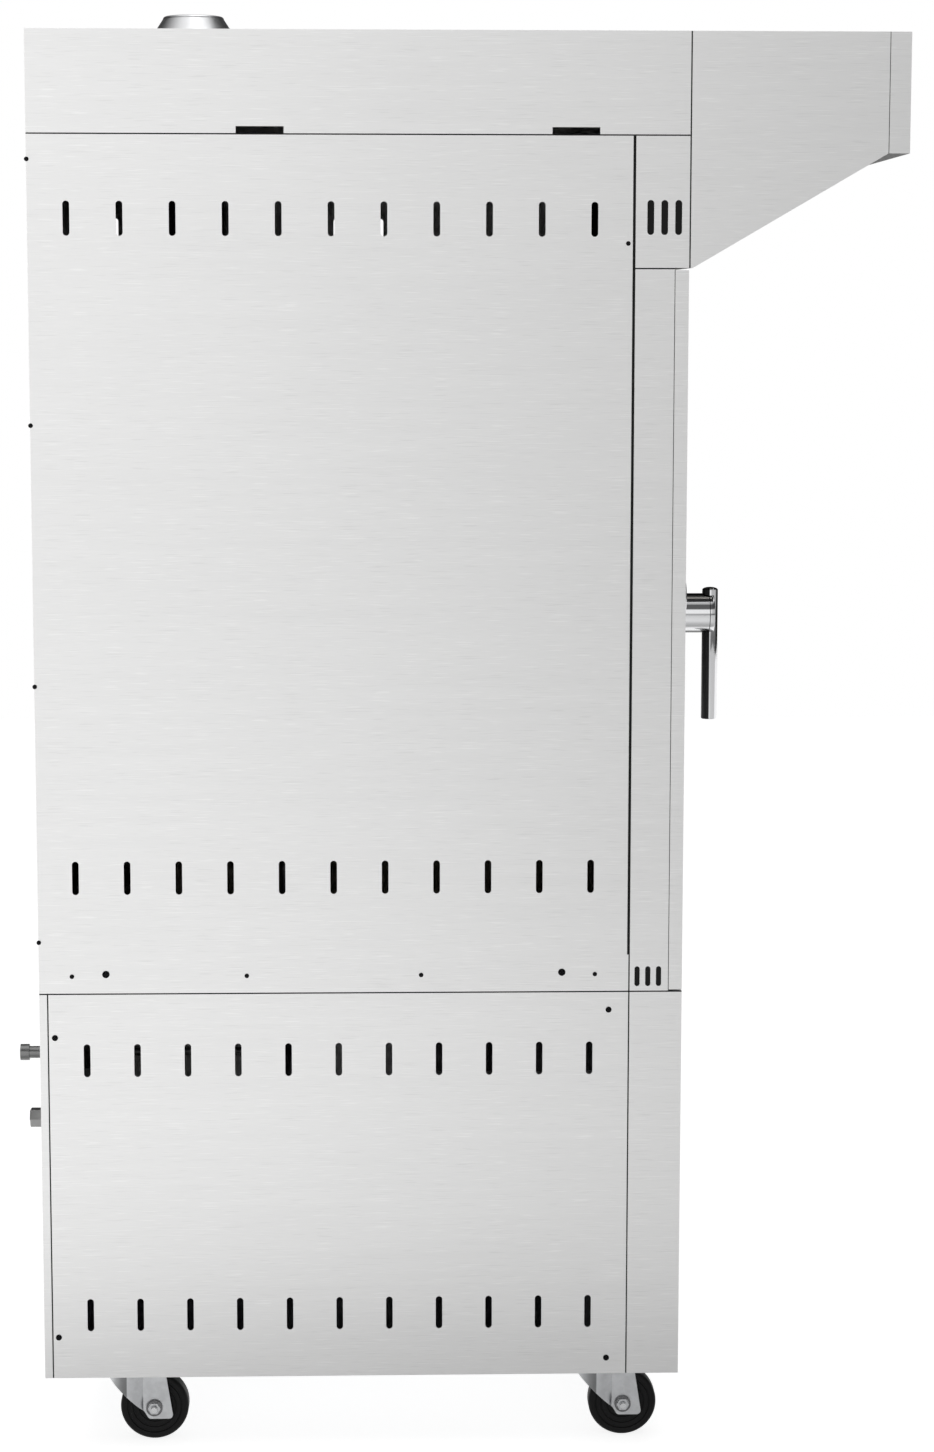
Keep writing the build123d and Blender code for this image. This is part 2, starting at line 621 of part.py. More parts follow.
pan_x = (chamber_left_x + ledge_inner + 2.0, chamber_right_x - ledge_inner - 2.0)
pan_y = (rack_front_y + 5.0, rack_front_y + 5.0 + pan_length)
pan_rim_z = chamber_low_z + pan_ledge_height + face_gap
with BuildPart() as water_pan:
    rim_x = (pan_x[0] - pan_rim, pan_x[1] + pan_rim)
    block(rim_x, (pan_y[0] - 4.0, pan_y[1] + 4.0), (pan_rim_z, pan_rim_z + pan_wall))
    with BuildSketch(Plane.XY.offset(pan_rim_z)):
        with Locations(((pan_x[0] + pan_x[1]) / 2, (pan_y[0] + pan_y[1]) / 2)):
            RectangleRounded(pan_x[1] - pan_x[0], pan_y[1] - pan_y[0], 20.0)
    extrude(amount=-pan_drop)
    with BuildSketch(Plane.XY.offset(pan_rim_z + pan_wall)):
        with Locations(((pan_x[0] + pan_x[1]) / 2, (pan_y[0] + pan_y[1]) / 2)):
            RectangleRounded(pan_x[1] - pan_x[0] - 2 * pan_wall, pan_y[1] - pan_y[0] - 2 * pan_wall, 18.0)
    extrude(amount=-pan_drop, mode=Mode.SUBTRACT)
write(water_pan.part, "water_pan")

# ---------------------------------------------------------------- fan and heat
with BuildPart() as fan_baffle:
    baffle_x = (chamber_left_x + 24.0, chamber_right_x - 24.0)
    baffle_z = (chamber_low_z + 50.0, chamber_high_z - 50.0)
    block(baffle_x, (baffle_y, baffle_y + sheet), baffle_z)
    with BuildSketch(facing(baffle_y)):
        with Locations((chamber_mid_x, chamber_mid_z)):
            Circle(8.0)
            for ring in (1, 2, 3, 4):
                with PolarLocations(21.0 * ring, 6 * ring):
                    Circle(8.0)
    extrude(amount=-2 * sheet, mode=Mode.SUBTRACT)
    for x in (baffle_x[0] + 30.0, baffle_x[1] - 30.0):
        for z in (baffle_z[0] + 40.0, baffle_z[1] - 40.0):
            rod_y(x, (baffle_y + sheet, chamber_rear_y), z, 6.0)
write(fan_baffle.part, "fan_baffle")

fan_back_y = chamber_rear_y - 24.0
shaft_end_y = jacket_rear_y + 66.0
with BuildPart() as fan_wheel:
    with BuildSketch(facing(fan_back_y)):
        with Locations((chamber_mid_x, chamber_mid_z)):
            Circle(fan_radius)
    extrude(amount=2.0)
    with BuildSketch(facing(fan_back_y - 2.0)):
        with Locations((chamber_mid_x, chamber_mid_z)):
            with PolarLocations(fan_radius * 0.74, fan_blades, rotate=True):
                Rectangle(fan_radius * 0.5, 2.0, rotation=18.0)
    extrude(amount=fan_width)
    with BuildSketch(facing(fan_back_y - fan_width)):
        with Locations((chamber_mid_x, chamber_mid_z)):
            Circle(fan_radius)
            Circle(fan_radius * 0.72, mode=Mode.SUBTRACT)
    extrude(amount=2.0)
    rod_y(chamber_mid_x, (fan_back_y - 24.0, fan_back_y), chamber_mid_z, 18.0)
    rod_y(chamber_mid_x, (fan_back_y - 24.0, shaft_end_y), chamber_mid_z, fan_shaft_radius)
write(fan_wheel.part, "fan_wheel")

with BuildPart() as fan_motor:
    motor_y = (jacket_rear_y, jacket_rear_y + motor_length)
    rod_y(chamber_mid_x, motor_y, chamber_mid_z, motor_radius)
    fillet(fan_motor.faces().sort_by(Axis.Y)[-1].edges(), 10.0)
    flange_half = motor_radius + 20.0
    flange_x = (chamber_mid_x - flange_half, chamber_mid_x + flange_half)
    flange_z = (chamber_mid_z - flange_half, chamber_mid_z + flange_half)
    block(flange_x, (motor_y[0], motor_y[0] + 6.0), flange_z)
    bore_y = (motor_y[0], shaft_end_y + face_gap)
    rod_y(chamber_mid_x, bore_y, chamber_mid_z, fan_shaft_radius + running_gap, Mode.SUBTRACT)
    with BuildSketch(facing(motor_y[0] + 6.0)):
        with Locations((chamber_mid_x, chamber_mid_z)):
            with PolarLocations(motor_radius, 24, rotate=True):
                Rectangle(8.0, 4.0)
    extrude(amount=-(motor_length - 30.0), mode=Mode.SUBTRACT)
write(fan_motor.part, "fan_motor")

with BuildPart() as heating_element:
    element_ys = (fan_back_y - 10.0 - element_pitch, fan_back_y - 10.0)
    for y in element_ys:
        with Locations((chamber_mid_x, y, chamber_mid_z)):
            Torus(element_radius, element_tube_radius, rotation=(90, 0, 0))
    for x in element_lead_x:
        rod_y(x, (element_ys[0], jacket_rear_y + 12.0), chamber_mid_z, element_lead_radius)
write(heating_element.part, "heating_element")

# ---------------------------------------------------------------- smoke generator
box_x = (opening_x[0] - sheet, opening_x[1] + sheet)
box_z = (opening_z[0] - sheet, opening_z[1] + sheet)
smoke_box_rear_y = face_y + sheet + drawer_length + 12.0
with BuildPart() as smoke_box:
    block(box_x, (face_y + sheet, smoke_box_rear_y + sheet), box_z)
    block(opening_x, (face_y + sheet, smoke_box_rear_y), opening_z, Mode.SUBTRACT)
    rod_z(chamber_mid_x, duct_y, (opening_z[1], box_z[1]), smoke_duct_radius - sheet, Mode.SUBTRACT)
    for x in (box_x[0], box_x[1] - sheet):
        block((x, x + sheet), (post_front_y + tube, smoke_box_rear_y), (pan_low_z + sheet, box_z[0]))
write(smoke_box.part, "smoke_box")

with BuildPart() as smoke_duct:
    duct_z = (box_z[1], chamber_low_z)
    rod_z(chamber_mid_x, duct_y, duct_z, smoke_duct_radius)
    rod_z(chamber_mid_x, duct_y, duct_z, smoke_duct_radius - sheet, Mode.SUBTRACT)
write(smoke_duct.part, "smoke_duct")

drawer_x = (chamber_mid_x - drawer_width / 2, chamber_mid_x + drawer_width / 2)
drawer_front_y = face_y - face_gap
with BuildPart() as chip_drawer:
    block(drawer_x, (drawer_front_y, drawer_front_y + drawer_length), (drawer_low_z, drawer_high_z))
    tray_x = (drawer_x[0] + sheet, drawer_x[1] - sheet)
    tray_y = (drawer_front_y + sheet, drawer_front_y + drawer_length - sheet)
    block(tray_x, tray_y, (drawer_low_z + sheet, drawer_high_z), Mode.SUBTRACT)
    plate_x = (drawer_x[0] - drawer_face_margin, drawer_x[1] + drawer_face_margin)
    plate_y = (drawer_front_y - 2 * sheet, drawer_front_y)
    block(plate_x, plate_y, (drawer_low_z - drawer_face_margin, drawer_high_z + drawer_face_margin))
    pull_z = drawer_low_z + drawer_height * 0.62
    pull_y = plate_y[0] - 20.0
    for x in (chamber_mid_x - 55.0, chamber_mid_x + 55.0):
        rod_y(x, (pull_y, plate_y[0]), pull_z, 4.0)
    rod_x((chamber_mid_x - 68.0, chamber_mid_x + 68.0), pull_y, pull_z, 5.0)
write(chip_drawer.part, "chip_drawer")

# ---------------------------------------------------------------- flue
with BuildPart() as flue_pipe:
    pipe_z = (chamber_high_z, chamber_high_z + pipe_above_chamber)
    rod_z(0, flue_y, pipe_z, flue_bore_radius + flue_wall)
    rod_z(0, flue_y, pipe_z, flue_bore_radius, Mode.SUBTRACT)
    damper_z = pipe_z[1] - 52.0
    bush_x = flue_bore_radius + flue_wall + 6.0
    damper_pin_radius = 4.0
    for side in (-1, 1):
        bush = sorted((side * (flue_bore_radius + 1.0), side * bush_x))
        rod_x(bush, flue_y, damper_z, 9.0)
    rod_x((-bush_x, bush_x), flue_y, damper_z, damper_pin_radius + running_gap, Mode.SUBTRACT)
write(flue_pipe.part, "flue_pipe")

with BuildPart() as flue_damper:
    damper_gap = 1.5
    rod_z(0, flue_y, (damper_z - 1.0, damper_z + 1.0), flue_bore_radius - damper_gap)
    rod_x((-bush_x - 4.0, bush_x + 16.0), flue_y, damper_z, damper_pin_radius)
write(flue_damper.part, "flue_damper")

with BuildPart() as damper_actuator:
    actuator_x = (bush_x + 2.0, bush_x + 62.0)
    block(actuator_x, (flue_y - 30.0, flue_y + 50.0), (damper_z - 30.0, damper_z + 30.0))
    fillet(damper_actuator.edges().filter_by(Axis.X), 5.0)
    actuator_bore = (actuator_x[0], bush_x + 16.0 + face_gap)
    rod_x(actuator_bore, flue_y, damper_z, damper_pin_radius + running_gap, Mode.SUBTRACT)
    stand_x = (actuator_x[0] + 10.0, actuator_x[1] - 10.0)
    block(stand_x, (flue_y + 30.0, flue_y + 33.0), (jacket_z[1], damper_z - 30.0))
write(damper_actuator.part, "damper_actuator")

with BuildPart() as flue_collar:
    with BuildSketch(Plane.XZ.offset(-flue_y)):
        with BuildLine():
            rim_z = flue_top_z - 4.0
            rim = (flue_rim_radius, rim_z)
            lip = (flue_bore_radius, flue_top_z)
            base = (flue_base_radius, roof_z)
            Polyline(lip, (flue_bore_radius, roof_z), base, (flue_base_radius, roof_z + 2.0), rim)
            ThreePointArc(rim, (flue_rim_radius - 1.4, flue_top_z - 1.2), lip)
        make_face()
    revolve(axis=Axis((0, flue_y, 0), (0, 0, 1)))
write(flue_collar.part, "flue_collar")

# ---------------------------------------------------------------- hood
hood_mouth_z = roof_z - hood_mouth_height
canopy_front_y = hood_front_y + hood_fascia_depth + seam / 2
heel_z = header_z + seam / 2
hood_profile = [
    (hood_plane_y, roof_z),
    (canopy_front_y, roof_z),
    (canopy_front_y, hood_mouth_z),
    (hood_plane_y - hood_heel, heel_z),
    (hood_plane_y, heel_z),
]
slope_run = canopy_front_y - (hood_plane_y - hood_heel)
slope_rise = hood_mouth_z - heel_z
slope_length = (slope_run**2 + slope_rise**2) ** 0.5
slope_angle = atan2(slope_rise, -slope_run)
slope_mid = ((canopy_front_y + hood_plane_y - hood_heel) / 2, (hood_mouth_z + heel_z) / 2)
filter_width = 440.0
filter_length = slope_length - 84.0
filter_depth = 20.0
filter_travel = 16.0
slope_plane = Plane(
    origin=(0, slope_mid[0], slope_mid[1]),
    x_dir=(1, 0, 0),
    z_dir=(0, sin(slope_angle), cos(slope_angle)),
)
with BuildPart() as hood_canopy:
    with BuildSketch(Plane.YZ):
        Polygon(*hood_profile, align=None)
    extrude(amount=side_x, both=True)
    with BuildSketch(Plane.YZ):
        Polygon(*hood_profile, align=None)
        offset(amount=-sheet, mode=Mode.REPLACE)
    extrude(amount=side_x - sheet, both=True, mode=Mode.SUBTRACT)
    with BuildSketch(slope_plane):
        Rectangle(filter_width - 24.0, filter_length - 24.0)
    extrude(amount=3 * sheet, both=True, mode=Mode.SUBTRACT)
    block(hood_port_x, (hood_plane_y - sheet, hood_plane_y), hood_port_z, Mode.SUBTRACT)
write(hood_canopy.part, "hood_canopy")

with BuildPart() as hood_filter:
    filter_plane = slope_plane.offset(sheet + face_gap)
    with BuildSketch(filter_plane):
        Rectangle(filter_width, filter_length)
        Rectangle(filter_width - 2 * filter_depth, filter_length - 2 * filter_depth, mode=Mode.SUBTRACT)
    extrude(amount=filter_depth)
    baffle_pitch = 22.0
    baffle_count = int((filter_width - 2 * filter_depth) // baffle_pitch)
    first_baffle = -baffle_pitch * (baffle_count - 1) / 2
    for layer, shift in ((3.0, 0.0), (11.0, baffle_pitch / 2)):
        with BuildSketch(filter_plane.offset(layer)):
            with Locations(*[(first_baffle + baffle_pitch * i + shift, 0) for i in range(baffle_count)]):
                Rectangle(baffle_pitch * 0.62, filter_length - filter_depth)
        extrude(amount=1.5)
write(hood_filter.part, "hood_filter")

with BuildPart() as hood_fascia:
    fascia_y = (hood_front_y, canopy_front_y - seam / 2)
    block((-side_x, side_x), fascia_y, (hood_mouth_z, roof_z))
    inner_x = (-side_x + sheet, side_x - sheet)
    inner_z = (hood_mouth_z + sheet, roof_z - sheet)
    block(inner_x, (fascia_y[0] + sheet, fascia_y[1]), inner_z, Mode.SUBTRACT)
write(hood_fascia.part, "hood_fascia")

# ---------------------------------------------------------------- door
window_size = (330.0, 560.0)
window_x = chamber_mid_x
window_z = chamber_mid_z + 40.0
glass_margin = 12.0
hinge_block = 20.0
with BuildPart() as door_skin:
    block((door_left_x, door_right_x), (face_y, door_back_y - sheet), (door_low_z, door_high_z))
    inner_x = (door_left_x + sheet, door_right_x - sheet)
    inner_z = (door_low_z + sheet, door_high_z - sheet)
    block(inner_x, (face_y + sheet, door_back_y - sheet), inner_z, Mode.SUBTRACT)
    with BuildSketch(facing(face_y)):
        with Locations((window_x, window_z)):
            RectangleRounded(window_size[0], window_size[1], 12.0)
    extrude(amount=-sheet, mode=Mode.SUBTRACT)
    for z in ((door_low_z, door_low_z + 30.0), (door_high_z - 30.0, door_high_z)):
        block((door_right_x - hinge_block, door_right_x), (face_y, door_back_y - sheet), z)
        rod_z(hinge_x, hinge_y, z, hinge_pin_radius + running_gap, Mode.SUBTRACT)
    rod_y(handle_x, (face_y, face_y + sheet), handle_z, spindle_radius + running_gap, Mode.SUBTRACT)
write(door_skin.part, "door_skin")

plug_x = (chamber_left_x + plug_clearance, chamber_right_x - plug_clearance)
plug_z = (chamber_low_z + plug_clearance, chamber_high_z - plug_clearance)
plug_rear_y = door_back_y + plug_depth
with BuildPart() as door_inner_panel:
    block((door_left_x, door_right_x), (door_back_y - sheet, door_back_y), (door_low_z, door_high_z))
    block(plug_x, (door_back_y, plug_rear_y), plug_z)
    fillet(door_inner_panel.edges().filter_by(Axis.Y).group_by(Axis.Y)[-1], 14.0)
    hollow_x = (plug_x[0] + sheet, plug_x[1] - sheet)
    hollow_z = (plug_z[0] + sheet, plug_z[1] - sheet)
    block(hollow_x, (door_back_y - sheet, plug_rear_y - sheet), hollow_z, Mode.SUBTRACT)
    with BuildSketch(facing(plug_rear_y)):
        with Locations((window_x, window_z)):
            RectangleRounded(window_size[0], window_size[1], 12.0)
    extrude(amount=sheet, mode=Mode.SUBTRACT)
    spindle_hole = spindle_radius + running_gap
    rod_y(handle_x, (door_back_y - sheet, door_back_y), handle_z, spindle_hole, Mode.SUBTRACT)
    for z in ((door_low_z, door_low_z + 30.0), (door_high_z - 30.0, door_high_z)):
        rod_z(hinge_x, hinge_y, z, hinge_pin_radius + running_gap, Mode.SUBTRACT)
write(door_inner_panel.part, "door_inner_panel")

with BuildPart() as door_window:
    pane = (window_size[0] + 2 * glass_margin, window_size[1] + 2 * glass_margin)
    for y in (face_y + sheet + 4.0, plug_rear_y - sheet):
        with BuildSketch(facing(y)):
            with Locations((window_x, window_z)):
                RectangleRounded(pane[0], pane[1], 8.0)
        extrude(amount=4.0)
write(door_window.part, "door_window")

gasket_width = 12.0
with BuildPart() as door_gasket:
    gasket_inner = (mouth[0] + 8.0, mouth[1] + 8.0)
    with BuildSketch(facing(frame_face_y - face_gap)):
        with Locations((chamber_mid_x, chamber_mid_z)):
            gasket_outer = (gasket_inner[0] + 2 * gasket_width, gasket_inner[1] + 2 * gasket_width)
            RectangleRounded(gasket_outer[0], gasket_outer[1], 20.0)
            RectangleRounded(gasket_inner[0], gasket_inner[1], 10.0, mode=Mode.SUBTRACT)
    extrude(amount=door_face_gap - face_gap)
write(door_gasket.part, "door_gasket")

with BuildPart() as hinge_brackets:
    bracket_x = (hinge_x - 14.0, side_x)
    bracket_y = (hinge_y - 8.0, frame_face_y)
    for edge_z, way in ((door_low_z, -1), (door_high_z, 1)):
        near_z = edge_z + way * 1.0
        plate_z = sorted((near_z, near_z + way * bracket))
        block(bracket_x, bracket_y, plate_z)
        pin_z = sorted((near_z, edge_z - way * 24.0))
        rod_z(hinge_x, hinge_y, pin_z, hinge_pin_radius)
write(hinge_brackets.part, "hinge_brackets")

hub_rear_y = face_y - face_gap
hub_front_y = hub_rear_y - hub_length
lever_y = face_y - lever_stand_off
with BuildPart() as door_handle:
    with BuildSketch(facing(hub_rear_y)):
        with Locations((handle_x, handle_z)):
            Circle(hub_radius)
    extrude(amount=hub_length)
    fillet(door_handle.faces().sort_by(Axis.Y)[0].edges(), 3.0)
    chamfer(door_handle.faces().sort_by(Axis.Y)[-1].edges(), 1.0)
    for groove_y in (hub_rear_y - 12.0, hub_rear_y - 40.0):
        with BuildSketch(facing(groove_y)):
            with Locations((handle_x, handle_z)):
                Circle(hub_radius + 1.0)
                Circle(hub_radius - 1.0, mode=Mode.SUBTRACT)
        extrude(amount=1.6, mode=Mode.SUBTRACT)
    with BuildPart(mode=Mode.PRIVATE) as lever:
        rod_z(handle_x, lever_y, (handle_z - lever_drop, handle_z + lever_rise), lever_radius)
        fillet(lever.edges().filter_by(GeomType.CIRCLE), 4.0)
    add(lever.part)
write(door_handle.part, "door_handle")

with BuildPart() as latch_spindle:
    tongue_y = (frame_face_y + 1.0, frame_face_y + 1.0 + tongue_thickness)
    rod_y(handle_x, (hub_rear_y, tongue_y[1]), handle_z, spindle_radius)
    tongue_z = (handle_z - tongue_width / 2, handle_z + tongue_width / 2)
    block((handle_x - tongue_reach, handle_x), tongue_y, tongue_z)
write(latch_spindle.part, "latch_spindle")

# ---------------------------------------------------------------- water service
with BuildPart() as water_inlet:
    tip_y = rear_y + inlet_reach
    head_y = (tip_y - inlet_head_length, tip_y)
    valve_y = (rear_y - sheet - 76.0, rear_y - sheet - 22.0)
    rod_y(service_x, (valve_y[1], tip_y), inlet_z, inlet_shank_radius)
    rod_y(service_x, head_y, inlet_z, inlet_head_radius)
    rod_y(service_x, (rear_y, rear_y + 3.0), inlet_z, inlet_head_radius + 2.0)
    block((service_x - 20.0, service_x + 20.0), valve_y, (inlet_z - 20.0, inlet_z + 20.0))
    rod_z(service_x, (valve_y[0] + valve_y[1]) / 2, (inlet_z + 20.0, inlet_z + 66.0), 17.0)
    rod_y(service_x, (tip_y - 30.0, tip_y), inlet_z, 5.5, Mode.SUBTRACT)
write(water_inlet.part, "water_inlet")

with BuildPart() as drain_socket:
    with BuildSketch(facing(rear_y)):
        with Locations((service_x, drain_z)):
            RegularPolygon(drain_flats / 2, 6, major_radius=False)
    extrude(amount=-drain_reach)
    chamfer(drain_socket.faces().sort_by(Axis.Y)[-1].edges(), 1.2)
    rod_y(service_x, (rear_y - 26.0, rear_y), drain_z, drain_flats / 2 - 4.5)
    bore_y = (rear_y + drain_reach - drain_thread_depth, rear_y + drain_reach)
    rod_y(service_x, bore_y, drain_z, drain_thread_radius, Mode.SUBTRACT)
write(drain_socket.part, "drain_socket")


def pipe(points, bend, radius, wall):
    """Add a bent round pipe that follows the points."""
    with BuildLine() as line:
        FilletPolyline(*points, radius=bend)
    route = line.line
    with BuildSketch(Plane(origin=route @ 0, z_dir=route % 0)) as section:
        Circle(radius)
        Circle(radius - wall, mode=Mode.SUBTRACT)
    sweep(section.sketch, path=route)


with BuildPart() as water_pipes:
    drain_points = [
        (chamber_mid_x, floor_drain_y, chamber_low_z),
        (chamber_mid_x, floor_drain_y, drain_z),
        (service_x, floor_drain_y, drain_z),
        (service_x, rear_y - 26.0, drain_z),
    ]
    pipe(drain_points, 40.0, drain_pipe_radius, 1.5)
    fill_points = [
        (service_x, rear_y - sheet - 76.0, inlet_z),
        (service_x, spout_y, inlet_z),
        (service_x, spout_y, spout_z),
        (chamber_left_x + spout_reach, spout_y, spout_z),
    ]
    pipe(fill_points, 24.0, fill_pipe_radius, 1.0)
write(water_pipes.part, "water_pipes")

# ---------------------------------------------------------------- casters
swivel_x = side_x - wheel_inset
axle_places = {
    "rear": rear_y - rear_axle_from_rear,
    "front": front_seam_y - front_axle_from_seam,
}
corner_plate_length = 172.0
bolt_head = 3.5
with BuildPart() as caster_plates:
    for side in (-1, 1):
        for axle_y in axle_places.values():
            swivel_y = axle_y + caster_trail
            plate_x = sorted((side * (side_x - 4.0), side * (swivel_x - 50.0)))
            plate_y = (swivel_y - corner_plate_length / 2, swivel_y + corner_plate_length / 2)
            plate_z = (caster_height - caster_plate, caster_height)
            block(plate_x, plate_y, plate_z)
            rod_z(side * swivel_x, swivel_y, (plate_z[0] - 2.0, plate_z[0]), race_radius)
            pin_hole_z = (plate_z[0] - 2.0, plate_z[1])
            rod_z(side * swivel_x, swivel_y, pin_hole_z, kingpin_radius + running_gap, Mode.SUBTRACT)
            head_z = (plate_z[1] - 1.6, plate_z[1])
            rod_z(side * swivel_x, swivel_y, head_z, kingpin_radius + 3.2, Mode.SUBTRACT)
            for x_way in (-38.0, 38.0):
                for y_way in (-62.0, 62.0):
                    with BuildSketch(Plane.XY.offset(plate_z[0] - 5.0)):
                        with Locations((side * swivel_x + x_way, swivel_y + y_way)):
                            RegularPolygon(6.5, 6, major_radius=False)
                    extrude(amount=5.0)
write(caster_plates.part, "caster_plates")

for side, word in ((-1, "left"), (1, "right")):
    for end, axle_y in axle_places.items():
        swivel_y = axle_y + caster_trail
        centre_x = side * swivel_x
        crown_top_z = caster_height - caster_plate - 2.0 - face_gap
        crown_low_z = crown_top_z - 6.0
        leg_in = wheel_width / 2 + fork_gap
        leg_out = leg_in + fork_sheet
        leg_low_z = wheel_radius - 17.0
        crease_y = swivel_y - (crown_radius**2 - leg_out**2) ** 0.5
        leg_profile = [
            (axle_y - 14.0, crown_low_z + fork_sheet),
            (axle_y - 28.0, leg_low_z),
            (axle_y + 8.0, leg_low_z),
            (axle_y + 14.5, leg_low_z + 11.0),
            (swivel_y + crown_radius, crown_low_z - 21.0),
            (swivel_y + crown_radius, crown_low_z + fork_sheet),
        ]
        fork_mid = ((axle_y - 40.0 + crease_y) / 2, crease_y - axle_y + 40.0)
        with BuildPart() as caster_fork:
            with BuildSketch(Plane.XY.offset(leg_low_z)):
                with Locations((centre_x, swivel_y)):
                    Circle(crown_radius)
                with Locations((centre_x, fork_mid[0])):
                    Rectangle(2 * leg_out, fork_mid[1])
                with Locations((centre_x, swivel_y)):
                    Circle(crown_radius - fork_sheet, mode=Mode.SUBTRACT)
                with Locations((centre_x, fork_mid[0])):
                    Rectangle(2 * leg_in, fork_mid[1] + 8.0, mode=Mode.SUBTRACT)
            extrude(amount=crown_low_z + fork_sheet - leg_low_z)
            with BuildSketch(Plane.YZ.offset(centre_x)):
                Polygon(*leg_profile, align=None)
                fillet(vertices().group_by(Axis.Y)[0], 6.0)
            extrude(amount=crown_radius + 1.0, both=True, mode=Mode.INTERSECT)
            with BuildSketch(Plane.XY.offset(crown_low_z)):
                with Locations((centre_x, swivel_y)):
                    Circle(crown_radius)
                with Locations((centre_x, (axle_y - 14.0 + crease_y) / 2)):
                    Rectangle(2 * leg_out, crease_y - axle_y + 14.0)
            extrude(amount=fork_sheet)
            rod_z(centre_x, swivel_y, (crown_low_z + fork_sheet, crown_top_z), race_radius)
            rod_z(centre_x, swivel_y, (crown_top_z, caster_height - 0.2), kingpin_radius)
            cap_z = (caster_height - 1.4, caster_height - 0.2)
            rod_z(centre_x, swivel_y, cap_z, kingpin_radius + 3.0)
            rod_x((centre_x - leg_out, centre_x + leg_out), axle_y, wheel_radius, axle_radius)
            for inner, outer in ((leg_out, leg_out + 6.0), (-leg_out - 6.0, -leg_out)):
                with BuildSketch(Plane.YZ.offset(centre_x + inner)):
                    with Locations((axle_y, wheel_radius)):
                        RegularPolygon(8.0, 6, major_radius=False)
                extrude(amount=outer - inner)
        write(caster_fork.part, f"caster_fork_{end}_{word}")

        with BuildPart() as caster_wheel:
            half = wheel_width / 2
            wheel_plane = Plane(origin=(centre_x, axle_y, wheel_radius), x_dir=(1, 0, 0), z_dir=(0, -1, 0))
            bore = axle_radius + running_gap
            with BuildSketch(wheel_plane):
                with BuildLine():
                    Polyline(
                        (-half - 1.5, bore),
                        (half + 1.5, bore),
                        (half + 1.5, 15.0),
                        (half - 5.0, 18.0),
                        (half - 5.0, 36.0),
                        (half - 1.0, 39.0),
                        (half - 1.0, 44.0),
                    )
                    ThreePointArc((half - 1.0, 44.0), (half - 2.8, 48.0), (half - 7.0, wheel_radius))
                    Line((half - 7.0, wheel_radius), (7.0 - half, wheel_radius))
                    ThreePointArc((7.0 - half, wheel_radius), (2.8 - half, 48.0), (1.0 - half, 44.0))
                    Polyline(
                        (1.0 - half, 44.0),
                        (1.0 - half, 39.0),
                        (5.0 - half, 36.0),
                        (5.0 - half, 18.0),
                        (-half - 1.5, 15.0),
                        (-half - 1.5, bore),
                    )
                make_face()
            revolve(axis=Axis((centre_x, axle_y, wheel_radius), (1, 0, 0)))
        write(caster_wheel.part, f"caster_wheel_{end}_{word}")

# ---------------------------------------------------------------- screws
with BuildPart() as panel_screws:
    for side in (-1, 1):
        for y, z, head in side_screws:
            face_x = side * side_x
            rod_x(sorted((face_x, face_x - side * (sheet + screw_length - 4.0))), y, z, screw_shank)
            with BuildSketch(Plane.YZ.offset(face_x)):
                with Locations((y, z)):
                    Circle(head)
            extrude(amount=side * screw_head, taper=28.0)
        for z in rear_screw_levels:
            rod_y(side * rear_screw_x, (rear_y - 2 * sheet, rear_y), z, screw_shank)
            rod_y(side * rear_screw_x, (rear_y, rear_y + screw_head), z, plain_head)
        for z in lower_rear_levels:
            rod_y(side * rear_screw_x, (post_rear_y - 8.0, rear_y), z, screw_shank)
            rod_y(side * rear_screw_x, (rear_y, rear_y + screw_head), z, plain_head)
write(panel_screws.part, "panel_screws")
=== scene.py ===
"""Looks of a floor-standing stainless smoking cabinet on casters.

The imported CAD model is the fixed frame. Its nodes get their finishes here, and the pieces that
need finer shapes, such as the wheels, the handle and the screw heads, are made here and ride on
the same bodies. Every size is in metres, +Z is up and the door faces -Y.
"""

import json
import logging
import math
from dataclasses import dataclass, field
from enum import Enum
from typing import ClassVar, Union

import bmesh
import bpy
from mathutils import Matrix, Vector


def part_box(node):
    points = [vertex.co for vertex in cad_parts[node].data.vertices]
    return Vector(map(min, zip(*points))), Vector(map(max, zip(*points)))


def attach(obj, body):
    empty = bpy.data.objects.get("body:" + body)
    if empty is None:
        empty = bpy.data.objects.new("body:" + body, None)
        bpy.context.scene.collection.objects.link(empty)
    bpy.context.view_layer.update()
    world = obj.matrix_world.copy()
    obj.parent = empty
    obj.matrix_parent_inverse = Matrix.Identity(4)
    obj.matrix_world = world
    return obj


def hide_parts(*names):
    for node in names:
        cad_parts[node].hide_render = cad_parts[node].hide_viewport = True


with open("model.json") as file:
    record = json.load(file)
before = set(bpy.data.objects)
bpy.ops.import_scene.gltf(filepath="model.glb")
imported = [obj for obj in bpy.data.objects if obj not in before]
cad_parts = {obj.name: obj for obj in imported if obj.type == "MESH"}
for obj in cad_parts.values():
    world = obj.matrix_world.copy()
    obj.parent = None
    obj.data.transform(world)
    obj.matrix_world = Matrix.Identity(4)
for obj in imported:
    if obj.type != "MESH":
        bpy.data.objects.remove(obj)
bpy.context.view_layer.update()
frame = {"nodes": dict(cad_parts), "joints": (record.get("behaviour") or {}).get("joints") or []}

LOG = logging.getLogger("smoking_cabinet")
Colour = tuple[float, float, float]
Point = tuple[float, float, float]
Reach = tuple[float, float]
MM = 0.001


